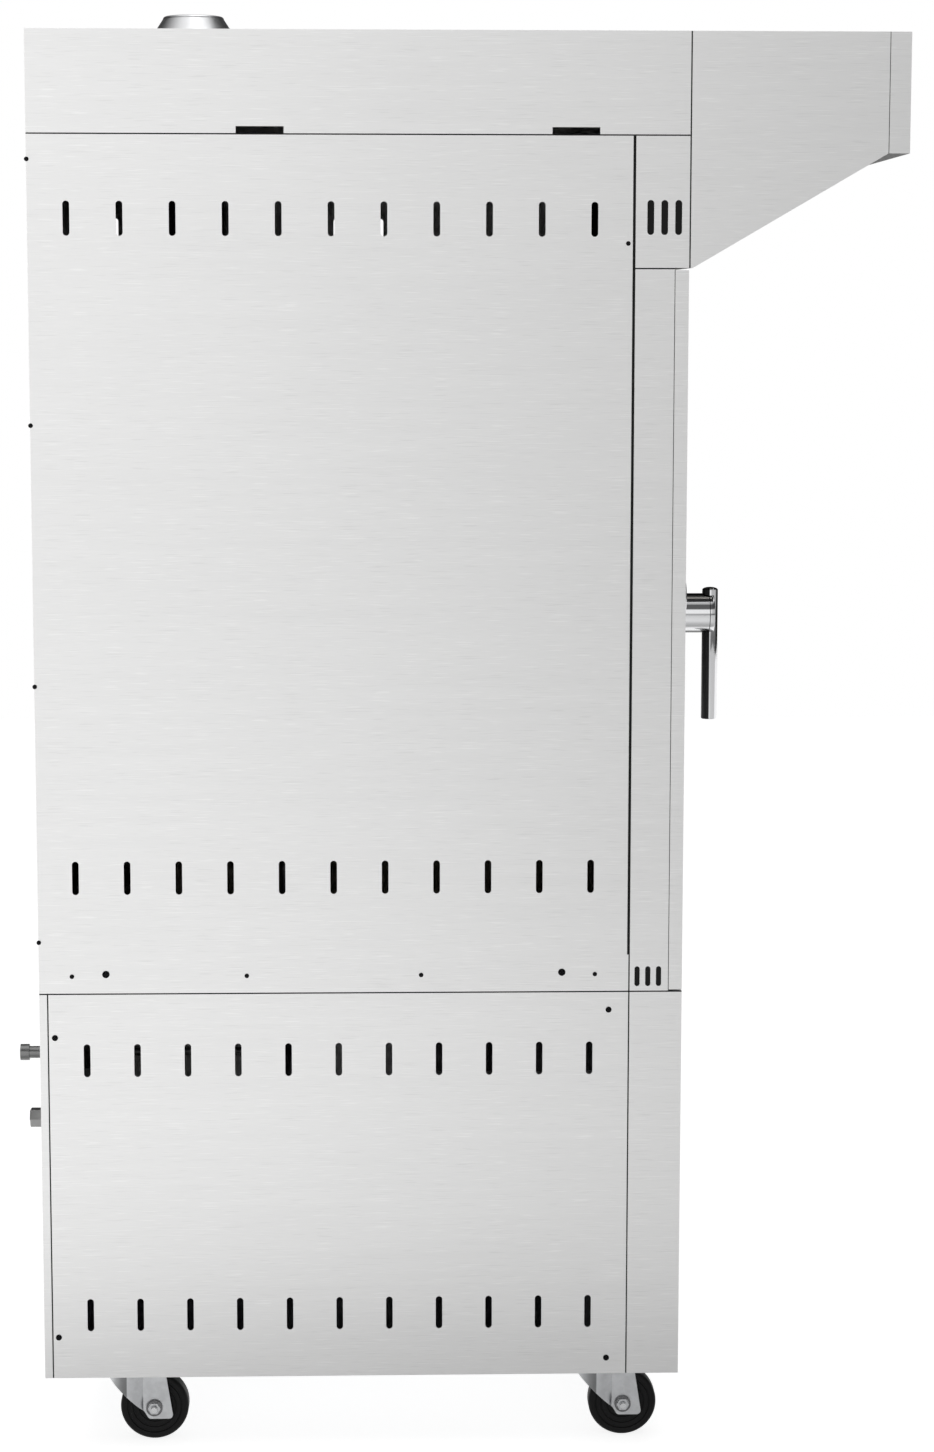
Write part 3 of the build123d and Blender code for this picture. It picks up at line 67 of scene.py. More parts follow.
# ------------------------------------------------------------------ shader expressions
class Wire:
    """A shader socket that takes part in Python arithmetic."""

    def __init__(self, recipe: "Recipe", socket: bpy.types.NodeSocket) -> None:
        """Keep the socket and the recipe that its nodes go into."""
        self.recipe = recipe
        self.socket = socket

    def _combine(self, operation: str, first: "Term", second: "Term") -> "Wire":
        """Add the node that works out one operation.

        Args:
            operation: The operation's name, as Math and Vector Math know it.
            first: The left-hand term.
            second: The right-hand term.

        Returns:
            The wire that carries the result.
        """
        kinds = {term.socket.type for term in (first, second) if isinstance(term, Wire)}
        if kinds == {"VALUE"}:
            return self.recipe.node("ShaderNodeMath", {"operation": operation}, {0: first, 1: second})
        if "RGBA" in kinds:
            return self.recipe.mix(1.0, first, second, operation)
        return self.recipe.node("ShaderNodeVectorMath", {"operation": operation}, {0: first, 1: second})

    def __add__(self, other: "Term") -> "Wire":
        """Return self + other."""
        return self._combine("ADD", self, other)

    def __radd__(self, other: "Term") -> "Wire":
        """Return other + self."""
        return self._combine("ADD", other, self)

    def __sub__(self, other: "Term") -> "Wire":
        """Return self - other."""
        return self._combine("SUBTRACT", self, other)

    def __rsub__(self, other: "Term") -> "Wire":
        """Return other - self."""
        return self._combine("SUBTRACT", other, self)

    def __mul__(self, other: "Term") -> "Wire":
        """Return self * other."""
        return self._combine("MULTIPLY", self, other)

    def __rmul__(self, other: "Term") -> "Wire":
        """Return other * self."""
        return self._combine("MULTIPLY", other, self)

    def __gt__(self, other: "Term") -> "Wire":
        """Return 1 where self is the greater, and 0 elsewhere."""
        return self._combine("GREATER_THAN", self, other)

    def __abs__(self) -> "Wire":
        """Return the value without its sign."""
        return self.recipe.work("ABSOLUTE", self)


Term = Union[Wire, float, Colour]


class Recipe:
    """A node tree in the making: a material's or the world's."""

    def __init__(self, tree: bpy.types.NodeTree) -> None:
        """Empty the tree and keep it."""
        self.tree = tree
        self.tree.nodes.clear()

    def node(
        self, kind: str, settings: dict | None = None, sockets: dict | None = None, output: int | str = 0
    ) -> Wire | None:
        """Add a node, set its settings and then fill or link its sockets.

        Args:
            kind: The node's type.
            settings: The node's own properties.
            sockets: A value or a wire for each socket, by number or name.
            output: The output that the result is taken from.

        Returns:
            The wire of that output, or nothing where the node is an end.
        """
        made = self.tree.nodes.new(kind)
        for name, value in (settings or {}).items():
            setattr(made, name, value)
        for name, value in (sockets or {}).items():
            if isinstance(value, Wire):
                self.tree.links.new(value.socket, made.inputs[name])
            else:
                made.inputs[name].default_value = value
        return Wire(self, made.outputs[output]) if len(made.outputs) else None

    def work(self, operation: str, value: Wire) -> Wire:
        """Work out an operation on one number."""
        return self.node("ShaderNodeMath", {"operation": operation}, {0: value})

    def ramp(self, value: Wire, stops: list[tuple[float, Colour]]) -> Wire:
        """Turn a number into a colour.

        Args:
            value: The number, from 0 to 1.
            stops: The places and colours that it runs through.

        Returns:
            The wire of the colour.
        """
        colour = self.node("ShaderNodeValToRGB", sockets={0: value})
        scale = colour.socket.node.color_ramp
        while len(scale.elements) < len(stops):
            scale.elements.new(1.0)
        for element, (place, tone) in zip(scale.elements, stops):
            element.position = place
            element.color = (*tone, 1.0)
        return colour

    def mix(self, factor: Term, first: Term, second: Term, blend: str = "MIX") -> Wire:
        """Mix two colours.

        Args:
            factor: How much of the second colour shows.
            first: The first colour.
            second: The second colour.
            blend: The way that they are mixed.

        Returns:
            The wire of the mixed colour.
        """
        settings = {"data_type": "RGBA", "blend_type": blend}
        first, second = ((*term, 1.0) if isinstance(term, tuple) else term for term in (first, second))
        return self.node("ShaderNodeMix", settings, {0: factor, 6: first, 7: second}, 2)

    def choose(self, factor: Term, first: Wire, second: Wire) -> Wire:
        """Return a vector between two others."""
        return self.node("ShaderNodeMix", {"data_type": "VECTOR"}, {0: factor, 4: first, 5: second}, 1)

    def place(self) -> Wire:
        """Return the place on the object, in metres."""
        return self.node("ShaderNodeTexCoord", output="Object")

    def facing(self) -> Wire:
        """Return the surface's own direction, in the object's frame."""
        return self.node("ShaderNodeTexCoord", output="Normal")

    def part(self, vector: Wire, axis: str) -> Wire:
        """Return one coordinate of a vector."""
        return self.node("ShaderNodeSeparateXYZ", sockets={0: vector}, output=axis)

    def noise(self, where: Wire, scale: float, detail: float = 2.0, rough: float = 0.5) -> Wire:
        """Return soft noise, from 0 to 1.

        Args:
            where: The place that is looked up.
            scale: How many features there are in a unit of it.
            detail: How many finer layers are added.
            rough: How strong those layers are.

        Returns:
            The wire of the noise.
        """
        sockets = {"Vector": where, "Scale": scale, "Detail": detail, "Roughness": rough}
        return self.node("ShaderNodeTexNoise", sockets=sockets)

    def even(self, value: Wire) -> Wire:
        """Return a number as an even grey."""
        return self.node("ShaderNodeCombineColor", sockets={0: value, 1: value, 2: value})

    def span(self, value: Term, low: float, high: float, start: float = 0.0, end: float = 1.0) -> Wire:
        """Map low..high to start..end, with the ends held and the middle smooth."""
        sockets = {"Value": value, "From Min": low, "From Max": high, "To Min": start, "To Max": end}
        return self.node("ShaderNodeMapRange", {"interpolation_type": "SMOOTHSTEP"}, sockets)


class Surface(Recipe):
    """A material in the making, round one Principled shader."""

    def __init__(self, name: str, **constants: float | Colour) -> None:
        """Start a material.

        Args:
            name: The material's name.
            constants: What is the same all over, by shader socket, with _ for a space.
        """
        self.material = bpy.data.materials.new(name)
        self.material.use_nodes = True
        super().__init__(self.material.node_tree)
        self.shader = self.tree.nodes.new("ShaderNodeBsdfPrincipled")
        for socket, value in constants.items():
            filled = (*value, 1.0) if isinstance(value, tuple) else value
            self.shader.inputs[socket.replace("_", " ")].default_value = filled
        end = self.tree.nodes.new("ShaderNodeOutputMaterial")
        self.tree.links.new(self.shader.outputs[0], end.inputs[0])

    def paint(self, socket: str, wire: Wire) -> None:
        """Feed a shader socket with what changes over the surface."""
        self.tree.links.new(wire.socket, self.shader.inputs[socket])

    def relief(self, height: Wire, depth: float, strength: float = 1.0) -> None:
        """Raise the surface by a height from 0 to 1, that many metres deep."""
        sockets = {"Height": height, "Distance": depth, "Strength": strength}
        self.paint("Normal", self.node("ShaderNodeBump", sockets=sockets))

    def cover(self, colour: Wire, rough: Wire, height: Wire, depth: float, strength: float) -> None:
        """Give the whole surface its colour, roughness and relief.

        Args:
            colour: The colour.
            rough: The roughness.
            height: The relief's height, from 0 to 1.
            depth: The depth of the relief, in metres.
            strength: How much of the relief is felt.
        """
        self.paint("Base Color", colour)
        self.paint("Roughness", rough)
        self.relief(height, depth, strength)

    # Edge mask: finishes use it for edge wear, and some lighten edges with it as a painted highlight.
    def edge_wear_and_glint(self, radius: float = 0.0012) -> Wire:
        """Return how near the surface is to a bent or cut edge, from 0 to 1."""
        soft = self.node("ShaderNodeBevel", {"samples": 4}, {"Radius": radius})
        true = self.node("ShaderNodeNewGeometry", output="Normal")
        same = self.node("ShaderNodeVectorMath", {"operation": "DOT_PRODUCT"}, {0: soft, 1: true}, "Value")
        return self.span(1.0 - same, 0.005, 0.12)


# ------------------------------------------------------------------ finishes
def scaled(colour: Colour, share: float) -> Colour:
    """Return a darker or lighter copy of a colour, capped at white."""
    return tuple(min(1.0, share * c) for c in colour)


class Grain(Enum):
    """The way that a sheet was brushed: how fast the grain changes along X, Y and Z."""

    LEVEL = (1.0, 1.0, 30.0)
    ACROSS = (1.0, 30.0, 1.0)


@dataclass(frozen=True)
class Finish:
    """A material's name, what is the same all over it, and what changes over it."""

    name: str
    constants: ClassVar[dict[str, float]] = {"Metallic": 1.0}

    def make(self) -> bpy.types.Material:
        """Return the finish's material."""
        surface = Surface(self.name, **self.constants)
        self.lay(surface, surface.place())
        return surface.material

    def lay(self, surface: Surface, place: Wire) -> None:
        """Lay what changes over the surface.

        Args:
            surface: The material in the making.
            place: The place on the object, in metres.
        """
        raise NotImplementedError


@dataclass(frozen=True)
class BrushedSteel(Finish):
    """Stainless sheet with a brushed grain, wisps and clouds, and painted shade that darkens the faces that
    look down.
    """

    name: str = "brushed_steel"
    tone: Colour = (0.80, 0.80, 0.797)
    sheen: float = 0.36
    underside_shade: float = 0.0

    def lay(self, surface: Surface, place: Wire) -> None:
        """Lay the grain: level on upright faces, and from side to side on flat ones."""
        level = surface.part(surface.facing(), "Z")
        along = surface.choose(abs(level) > 0.7, place * Grain.LEVEL.value, place * Grain.ACROSS.value)
        fine = surface.noise(along, 42.0, 3.0, 0.65)
        wisp = surface.noise(along, 24.0, 1.0, 0.4)
        broad = surface.noise(along, 3.1, 2.0, 0.5)
        cloud = surface.noise(place, 2.6, 2.0, 0.5)
        wisps = surface.span(wisp, 0.62, 0.74) * 0.07 - surface.span(wisp, 0.36, 0.27) * 0.06
        edge = surface.edge_wear_and_glint()
        streaks = (fine - 0.5) * 0.085 + (broad - 0.5) * 0.05 + wisps
        # Edges are painted lighter: partly edge wear, partly painted highlight.
        bright = 1.0 + streaks + (cloud - 0.5) * 0.03 + edge * 0.06
        # Painted shade: the faces that look down are darkened.
        if self.underside_shade:
            bright = bright * (1.0 - surface.span(level, -0.25, -0.7) * self.underside_shade)
        rough = self.sheen + (fine - 0.5) * 0.16 + (cloud - 0.5) * 0.06 - edge * 0.08
        surface.cover(self.tone * surface.even(bright), rough, fine, 0.00003, 0.35)


@dataclass(frozen=True)
class MillSteel(Finish):
    """Plain rolled sheet or bar inside the cabinet, a little dull and dusty."""

    name: str = "frame_steel"
    tone: Colour = (0.42, 0.43, 0.44)
    dust: Colour = (0.20, 0.195, 0.185)

    def lay(self, surface: Surface, place: Wire) -> None:
        """Lay the rolling lines and the dust."""
        cloud = surface.noise(place, 9.0, 4.0, 0.6)
        roll = surface.noise(place * (1.0, 1.0, 12.0), 30.0, 2.0, 0.5)
        bare = surface.mix(surface.span(roll, 0.3, 0.7), scaled(self.tone, 0.85), self.tone)
        colour = surface.mix(surface.span(cloud, 0.45, 0.75) * 0.45, bare, self.dust)
        surface.cover(colour, 0.38 + cloud * 0.25, roll, 0.00004, 0.3)


@dataclass(frozen=True)
class SmokedSteel(Finish):
    """Chamber sheet: satin steel with a warm smoke film and drip marks."""

    name: str = "chamber_steel"
    tone: Colour = (0.56, 0.55, 0.53)
    film: Colour = (0.30, 0.22, 0.13)

    def lay(self, surface: Surface, place: Wire) -> None:
        """Lay the grain and the smoke film."""
        grain = surface.noise(place * Grain.LEVEL.value, 30.0, 3.0, 0.6)
        haze = surface.noise(place, 5.0, 4.0, 0.6)
        drip = surface.noise(place * (9.0, 9.0, 0.8), 6.0, 3.0, 0.6)
        film = surface.span(haze, 0.42, 0.75) * 0.55 + surface.span(drip, 0.58, 0.72) * 0.25
        clean = surface.mix(grain, scaled(self.tone, 0.9), self.tone)
        rough = 0.30 + film * 0.25 + grain * 0.06
        surface.cover(surface.mix(film, clean, self.film), rough, grain, 0.00003, 0.3)


@dataclass(frozen=True)
class PlatedWire(Finish):
    """Bright plated wire, browned a little where food has lain on it."""

    name: str = "rack_wire"
    tone: Colour = (0.72, 0.72, 0.71)
    brown: Colour = (0.33, 0.25, 0.16)

    def lay(self, surface: Surface, place: Wire) -> None:
        """Lay the stains."""
        stain = surface.span(surface.noise(place, 14.0, 4.0, 0.6), 0.5, 0.8)
        fine = surface.noise(place, 600.0, 2.0, 0.5)
        rough = 0.14 + stain * 0.3 + fine * 0.05
        surface.cover(surface.mix(stain * 0.6, self.tone, self.brown), rough, fine, 0.00004, 0.25)


@dataclass(frozen=True)
class PolishedChrome(Finish):
    """Mirror plate with hairlines and finger haze, and painted dark reflections on the sides away from the
    hand.
    """

    name: str = "polished_chrome"
    tone: Colour = (0.83, 0.835, 0.845)
    haze: float = 0.07
    shade: float = 0.0

    def lay(self, surface: Surface, place: Wire) -> None:
        """Lay the haze, the hairlines and the painted dark reflections."""
        finger = surface.span(surface.noise(place, 26.0, 3.0, 0.6), 0.5, 0.78)
        hair = surface.noise(place * (1.0, 1.0, 9.0), 260.0, 2.0, 0.5)
        plate = surface.mix(finger * 0.12, self.tone, (0.70, 0.70, 0.70))
        # Painted reflection: the plate is darkened near black where the mask is set, for dark surroundings
        # mirrored in it.
        if self.shade:
            plate = surface.mix(self._dark_reflection_mask(surface) * self.shade, plate, (0.012, 0.012, 0.013))
        rough = self.haze + finger * 0.07 + hair * 0.03 + surface.edge_wear_and_glint(0.0006) * 0.05
        surface.cover(plate, rough, hair, 0.00001, 0.15)

    @staticmethod
    def _dark_reflection_mask(surface: Surface) -> Wire:
        """Return where dark reflections are painted: where the plate faces the door, the hood or the floor,
        and on a band where it faces half way up.
        """
        facing = surface.facing()
        towards, level = surface.part(facing, "Y"), surface.part(facing, "Z")
        lid = surface.span(abs(level), 0.80, 0.90)
        line = surface.span(level, 0.50, 0.56) * surface.span(level, 0.68, 0.62) * 0.7
        return 1.0 - (1.0 - surface.span(towards, 0.04, 0.16)) * (1.0 - lid) * (1.0 - line)


@dataclass(frozen=True)
class ZincPressing(Finish):
    """Zinc-plated pressed steel: mottled, with painted shade beside a fold, and lighter along its edges,
    partly rubbed and partly painted highlight.
    """

    name: str = "zinc_steel"
    tone: Colour = (0.70, 0.71, 0.725)

    def lay(self, surface: Surface, place: Wire) -> None:
        """Lay the mottle, the painted fold shade, the rub marks and the lighter edges."""
        mottle = surface.noise(place, 60.0, 3.0, 0.6)
        rub = surface.noise(place * (1.0, 4.0, 1.0), 90.0, 2.0, 0.6)
        edge = surface.edge_wear_and_glint()
        bare = surface.mix(surface.span(mottle, 0.3, 0.7), scaled(self.tone, 0.86), self.tone)
        # Painted shade beside the fold: faces turned a little to the rear are darkened.
        rearward = surface.part(surface.facing(), "Y")
        fold_shade = surface.span(rearward, 0.02, 0.06) * surface.span(rearward, 0.85, 0.10)
        shaded_bare = surface.mix(fold_shade * 0.75, bare, (0.10, 0.10, 0.10))
        rough = 0.26 + mottle * 0.10 + rub * 0.06 - edge * 0.06
        # Edges are mixed lighter: partly rubbed zinc, partly painted highlight.
        surface.cover(surface.mix(edge * 0.5, shaded_bare, (0.86, 0.86, 0.87)), rough, rub, 0.00005, 0.2)


@dataclass(frozen=True)
class BlackRubber(Finish):
    """Black wheel rubber: moulded skin on the sides, scuffed and dusty where it rolls."""

    name: str = "wheel_rubber"
    tone: Colour = (0.0035, 0.0035, 0.0038)
    dust: Colour = (0.05, 0.048, 0.045)
    constants: ClassVar[dict[str, float]] = {"Specular_IOR_Level": 0.22}

    def lay(self, surface: Surface, place: Wire) -> None:
        """Lay the skin, the scuffs and the dust."""
        skin = surface.noise(place, 900.0, 2.0, 0.5)
        scuff = surface.noise(place * (6.0, 1.0, 1.0), 70.0, 4.0, 0.7)
        rolling = surface.span(abs(surface.part(surface.facing(), "X")), 0.55, 0.2)
        dust = rolling * surface.span(scuff, 0.4, 0.75)
        rough = 0.40 + skin * 0.12 + dust * 0.25
        height = skin * 0.4 + scuff * rolling
        surface.cover(surface.mix(dust * 0.3, self.tone, self.dust), rough, height, 0.00012, 0.5)


@dataclass(frozen=True)
class SiliconeGasket(Finish):
    """Soft black sealing rubber with a fine bloom."""

    name: str = "gasket_rubber"
    tone: Colour = (0.02, 0.02, 0.021)
    bloom: Colour = (0.09, 0.088, 0.085)
    constants: ClassVar[dict[str, float]] = {"Specular_IOR_Level": 0.4}

    def lay(self, surface: Surface, place: Wire) -> None:
        """Lay the bloom and the moulded skin."""
        bloom = surface.noise(place, 45.0, 4.0, 0.6)
        skin = surface.noise(place, 700.0, 1.0, 0.5)
        colour = surface.mix(surface.span(bloom, 0.45, 0.8) * 0.4, self.tone, self.bloom)
        surface.cover(colour, 0.5 + bloom * 0.2, skin, 0.00008, 0.4)


@dataclass(frozen=True)
class BlackGlass(Finish):
    """Back-painted display glass with a clear coat, a little smeared."""

    name: str = "display_glass"
    constants: ClassVar[dict[str, float]] = {"Coat_Weight": 1.0, "Coat_Roughness": 0.02}

    def lay(self, surface: Surface, place: Wire) -> None:
        """Lay the smears."""
        smear = surface.span(surface.noise(place * (1.0, 1.0, 2.2), 38.0, 4.0, 0.6), 0.45, 0.8)
        colour = surface.mix(smear * 0.5, (0.006, 0.006, 0.008), (0.018, 0.018, 0.021))
        surface.cover(colour, 0.05 + smear * 0.16, smear, 0.000004, 0.2)


@dataclass(frozen=True)
class ClearGlass(Finish):
    """Toughened oven pane: see-through, with a thin smoke haze."""

    name: str = "clear_glass"
    constants: ClassVar[dict[str, float]] = {"Coat_Weight": 1.0, "Coat_Roughness": 0.02, "IOR": 1.5}

    def lay(self, surface: Surface, place: Wire) -> None:
        """Lay the smoke haze and the drips."""
        haze = surface.span(surface.noise(place, 6.0, 4.0, 0.6), 0.4, 0.8)
        drip = surface.span(surface.noise(place * (10.0, 10.0, 0.8), 7.0, 2.0, 0.5), 0.6, 0.75)
        film = haze * 0.5 + drip * 0.5
        surface.paint("Base Color", surface.mix(film, (0.10, 0.13, 0.12), (0.16, 0.12, 0.08)))
        surface.paint("Roughness", 0.03 + film * 0.15)
        surface.paint("Alpha", 0.30 + film * 0.25)


@dataclass(frozen=True)
class TurnedAluminium(Finish):
    """Dial metal turned on a lathe: fine rings round the dial's axis."""

    name: str = "dial_metal"
    axis_x: float = 0.0
    axis_z: float = 0.0

    def lay(self, surface: Surface, place: Wire) -> None:
        """Lay the rings."""
        off_x = surface.part(place, "X") - self.axis_x
        off_z = surface.part(place, "Z") - self.axis_z
        radius = surface.work("SQRT", off_x * off_x + off_z * off_z)
        ring = surface.work("SINE", radius * 9000.0)
        fleck = surface.noise(place, 300.0, 2.0, 0.5)
        colour = surface.mix(fleck, (0.66, 0.66, 0.67), (0.78, 0.78, 0.79))
        surface.cover(colour, 0.24 + ring * 0.04 + fleck * 0.05, ring * 0.5 + 0.5, 0.00002, 0.4)


@dataclass(frozen=True)
class MouldedPlastic(Finish):
    """Fine-textured moulded plastic in one of the control colours."""

    tone: Colour
    rough: float = 0.42
    constants: ClassVar[dict[str, float]] = {"Specular_IOR_Level": 0.5}

    def lay(self, surface: Surface, place: Wire) -> None:
        """Lay the moulded texture."""
        orange = surface.noise(place, 1500.0, 2.0, 0.6)
        tone = surface.noise(place, 35.0, 3.0, 0.5)
        pale = tuple(min(1.0, 1.35 * c + 0.01) for c in self.tone)
        rough = self.rough + orange * 0.12
        surface.cover(surface.mix(tone * 0.35, self.tone, pale), rough, orange, 0.00005, 0.4)


@dataclass(frozen=True)
class MineralWool(Finish):
    """Pressed mineral wool: fibrous, yellow grey, with darker tufts."""

    name: str = "insulation"
    constants: ClassVar[dict[str, float]] = {"Specular_IOR_Level": 0.1, "Roughness": 0.95}

    def lay(self, surface: Surface, place: Wire) -> None:
        """Lay the fibres and the tufts."""
        fibre = surface.noise(place * (1.0, 7.0, 1.0), 160.0, 5.0, 0.75)
        cross = surface.noise(place * (1.0, 1.0, 7.0), 160.0, 5.0, 0.75)
        tuft = surface.noise(place, 22.0, 4.0, 0.6)
        strands = fibre * 0.5 + cross * 0.5
        stops = [(0.30, (0.20, 0.18, 0.14)), (0.52, (0.42, 0.39, 0.31)), (0.75, (0.60, 0.57, 0.47))]
        surface.paint("Base Color", surface.ramp(strands * 0.7 + tuft * 0.3, stops))
        surface.relief(strands + tuft, 0.0015, 0.8)


@dataclass(frozen=True)
class MotorPaint(Finish):
    """Satin black enamel on a motor or an actuator, chipped lightly at its edges."""

    name: str = "motor_paint"
    constants: ClassVar[dict[str, float]] = {}

    def lay(self, surface: Surface, place: Wire) -> None:
        """Lay the enamel and its chips."""
        peel = surface.noise(place, 260.0, 2.0, 0.5)
        chip = surface.edge_wear_and_glint(0.0015) * surface.span(surface.noise(place, 170.0, 3.0, 0.6), 0.5, 0.6)
        surface.paint("Metallic", chip * 0.9)
        colour = surface.mix(chip, (0.030, 0.031, 0.034), (0.34, 0.34, 0.35))
        surface.cover(colour, 0.36 + peel * 0.14, peel, 0.00012, 0.35)


@dataclass(frozen=True)
class HeatedSheath(Finish):
    """Heating element sheath, blued and browned by heat."""

    name: str = "element_sheath"
    constants: ClassVar[dict[str, float]] = {"Metallic": 0.85}

    def lay(self, surface: Surface, place: Wire) -> None:
        """Lay the heat colours and the scale."""
        heat = surface.noise(place, 11.0, 3.0, 0.6)
        scale = surface.noise(place, 240.0, 3.0, 0.7)
        stops = [(0.30, (0.10, 0.10, 0.13)), (0.48, (0.19, 0.15, 0.12)), (0.68, (0.27, 0.23, 0.18))]
        surface.cover(surface.ramp(heat, stops), 0.42 + scale * 0.22, scale, 0.00008, 0.5)


@dataclass(frozen=True)
class PlatedFitting(Finish):
    """Nickel-plated brass fitting: warm grey, with lime spots."""

    name: str = "fitting_metal"
    tone: Colour = (0.42, 0.42, 0.415)
    lime: Colour = (0.55, 0.55, 0.54)

    def lay(self, surface: Surface, place: Wire) -> None:
        """Lay the turning lines and the lime."""
        lime = surface.span(surface.noise(place, 75.0, 4.0, 0.7), 0.56, 0.72)
        turned = surface.noise(place * (1.0, 8.0, 1.0), 220.0, 2.0, 0.5)
        # Edges are mixed lighter: partly wear, partly painted highlight.
        plated = surface.mix(surface.edge_wear_and_glint() * 0.3, self.tone, scaled(self.tone, 1.5))
        rough = 0.26 + lime * 0.3 + turned * 0.08
        surface.cover(surface.mix(lime * 0.3, plated, self.lime), rough, turned, 0.00006, 0.3)


@dataclass(frozen=True)
class ScrewSteel(Finish):
    """Blackened steel screw, turned and lightly oiled."""

    name: str = "screw_steel"
    tone: Colour = (0.008, 0.008, 0.009)

    def lay(self, surface: Surface, place: Wire) -> None:
        """Lay the oil and the lighter rims, partly wear and partly painted highlight."""
        oil = surface.noise(place, 130.0, 3.0, 0.6)
        # Rims are mixed lighter: partly wear, partly painted highlight.
        colour = surface.mix(surface.edge_wear_and_glint(0.0004) * 0.25, self.tone, (0.20, 0.20, 0.21))
        surface.cover(colour, 0.34 + oil * 0.18, oil, 0.00003, 0.3)


@dataclass(frozen=True)
class Lamp(Finish):
    """Lit segments behind the display glass."""

    tone: Colour
    constants: ClassVar[dict[str, float]] = {"Roughness": 0.4, "Emission_Strength": 2.2}

    def lay(self, surface: Surface, place: Wire) -> None:
        """Lay the glow."""
        lit = surface.mix(surface.noise(place, 420.0, 2.0, 0.5), scaled(self.tone, 0.8), self.tone)
        surface.paint("Base Color", lit)
        surface.paint("Emission Color", lit)


@dataclass(frozen=True)
class StudioFloor(Finish):
    """Plain pale floor; its own glow stands for the light table under it."""

    name: str = "studio_floor"
    tone: Colour = (0.50, 0.50, 0.50)
    near_glow: float = 0.31
    far_glow: float = 0.85
    open_glow: float = 0.86
    constants: ClassVar[dict[str, float]] = {"Specular_IOR_Level": 0.2, "Emission_Strength": 1.0}

    def lay(self, surface: Surface, place: Wire) -> None:
        """Lay the glow: even to the eye, and with a painted shadow where the cabinet's left side mirrors it.
        """
        cloud = surface.noise(place, 1.2, 3.0, 0.5)
        x, y = surface.part(place, "X"), surface.part(place, "Y")
        away = surface.work("SQRT", x * x + y * y)
        # Painted shadow on the floor, seen only in reflections: its glow drops beside the cabinet, near it and
        # towards the front.
        beside = 1.0 - surface.span(x, -0.55, -0.15)
        painted_shadow = beside * (1.0 - surface.span(away, 0.7, 1.8))
        painted_front_shade = beside * surface.span(y, 0.7, -1.3) * 0.52
        graded = (self.far_glow - painted_shadow * (self.far_glow - self.near_glow)) * (1.0 - painted_front_shade)
        seen = surface.node("ShaderNodeLightPath", output="Is Camera Ray")
        glow = seen * self.open_glow + (1.0 - seen) * graded
        surface.paint("Base Color", surface.mix(cloud, scaled(self.tone, 0.985), self.tone))
        surface.paint("Emission Color", surface.mix(glow, (0.0, 0.0, 0.0), (1.0, 1.0, 1.0)))
        surface.paint("Roughness", 0.6 + cloud * 0.1)


class Palette:
    """Every finish of the cabinet, each made into a material once."""

    def __init__(self) -> None:
        """Start with no material made."""
        self._made: dict[str, bpy.types.Material] = {}

    def get(self, finish: Finish) -> bpy.types.Material:
        """Return a finish's material, and make it at its first use."""
        if finish.name not in self._made:
            self._made[finish.name] = finish.make()
            LOG.info("finish %s", finish.name)
        return self._made[finish.name]

    def dress(self, finish: Finish, *nodes: str) -> None:
        """Give CAD nodes a finish.

        Args:
            finish: The finish.
            nodes: The names of the nodes that take it.
        """
        material = self.get(finish)
        for name in nodes:
            node = frame["nodes"][name]
            if not node.material_slots:
                node.data.materials.append(material)
            for slot in node.material_slots:
                slot.material = material
            LOG.info("dressed %s in %s", name, finish.name)


# ------------------------------------------------------------------ shapes
def ring_of(centre: Vector, radius: float, sides: int, across: Vector, up: Vector) -> list[Vector]:
    """Return the corners of a regular outline.

    Args:
        centre: Its middle.
        radius: The distance from there to each corner.
        sides: How many corners it has.
        across: The first direction in its plane.
        up: The second direction in its plane.

    Returns:
        The corners, in order.
    """
    angles = (2 * math.pi * i / sides for i in range(sides))
    return [centre + (across * math.cos(a) + up * math.sin(a)) * radius for a in angles]


class Axis(Enum):
    """The line that a turned shape is turned about: its direction and two square to it."""

    X = ((1, 0, 0), (0, 1, 0), (0, 0, 1))
    Y = ((0, 1, 0), (0, 0, 1), (1, 0, 0))
    Z = ((0, 0, 1), (1, 0, 0), (0, 1, 0))


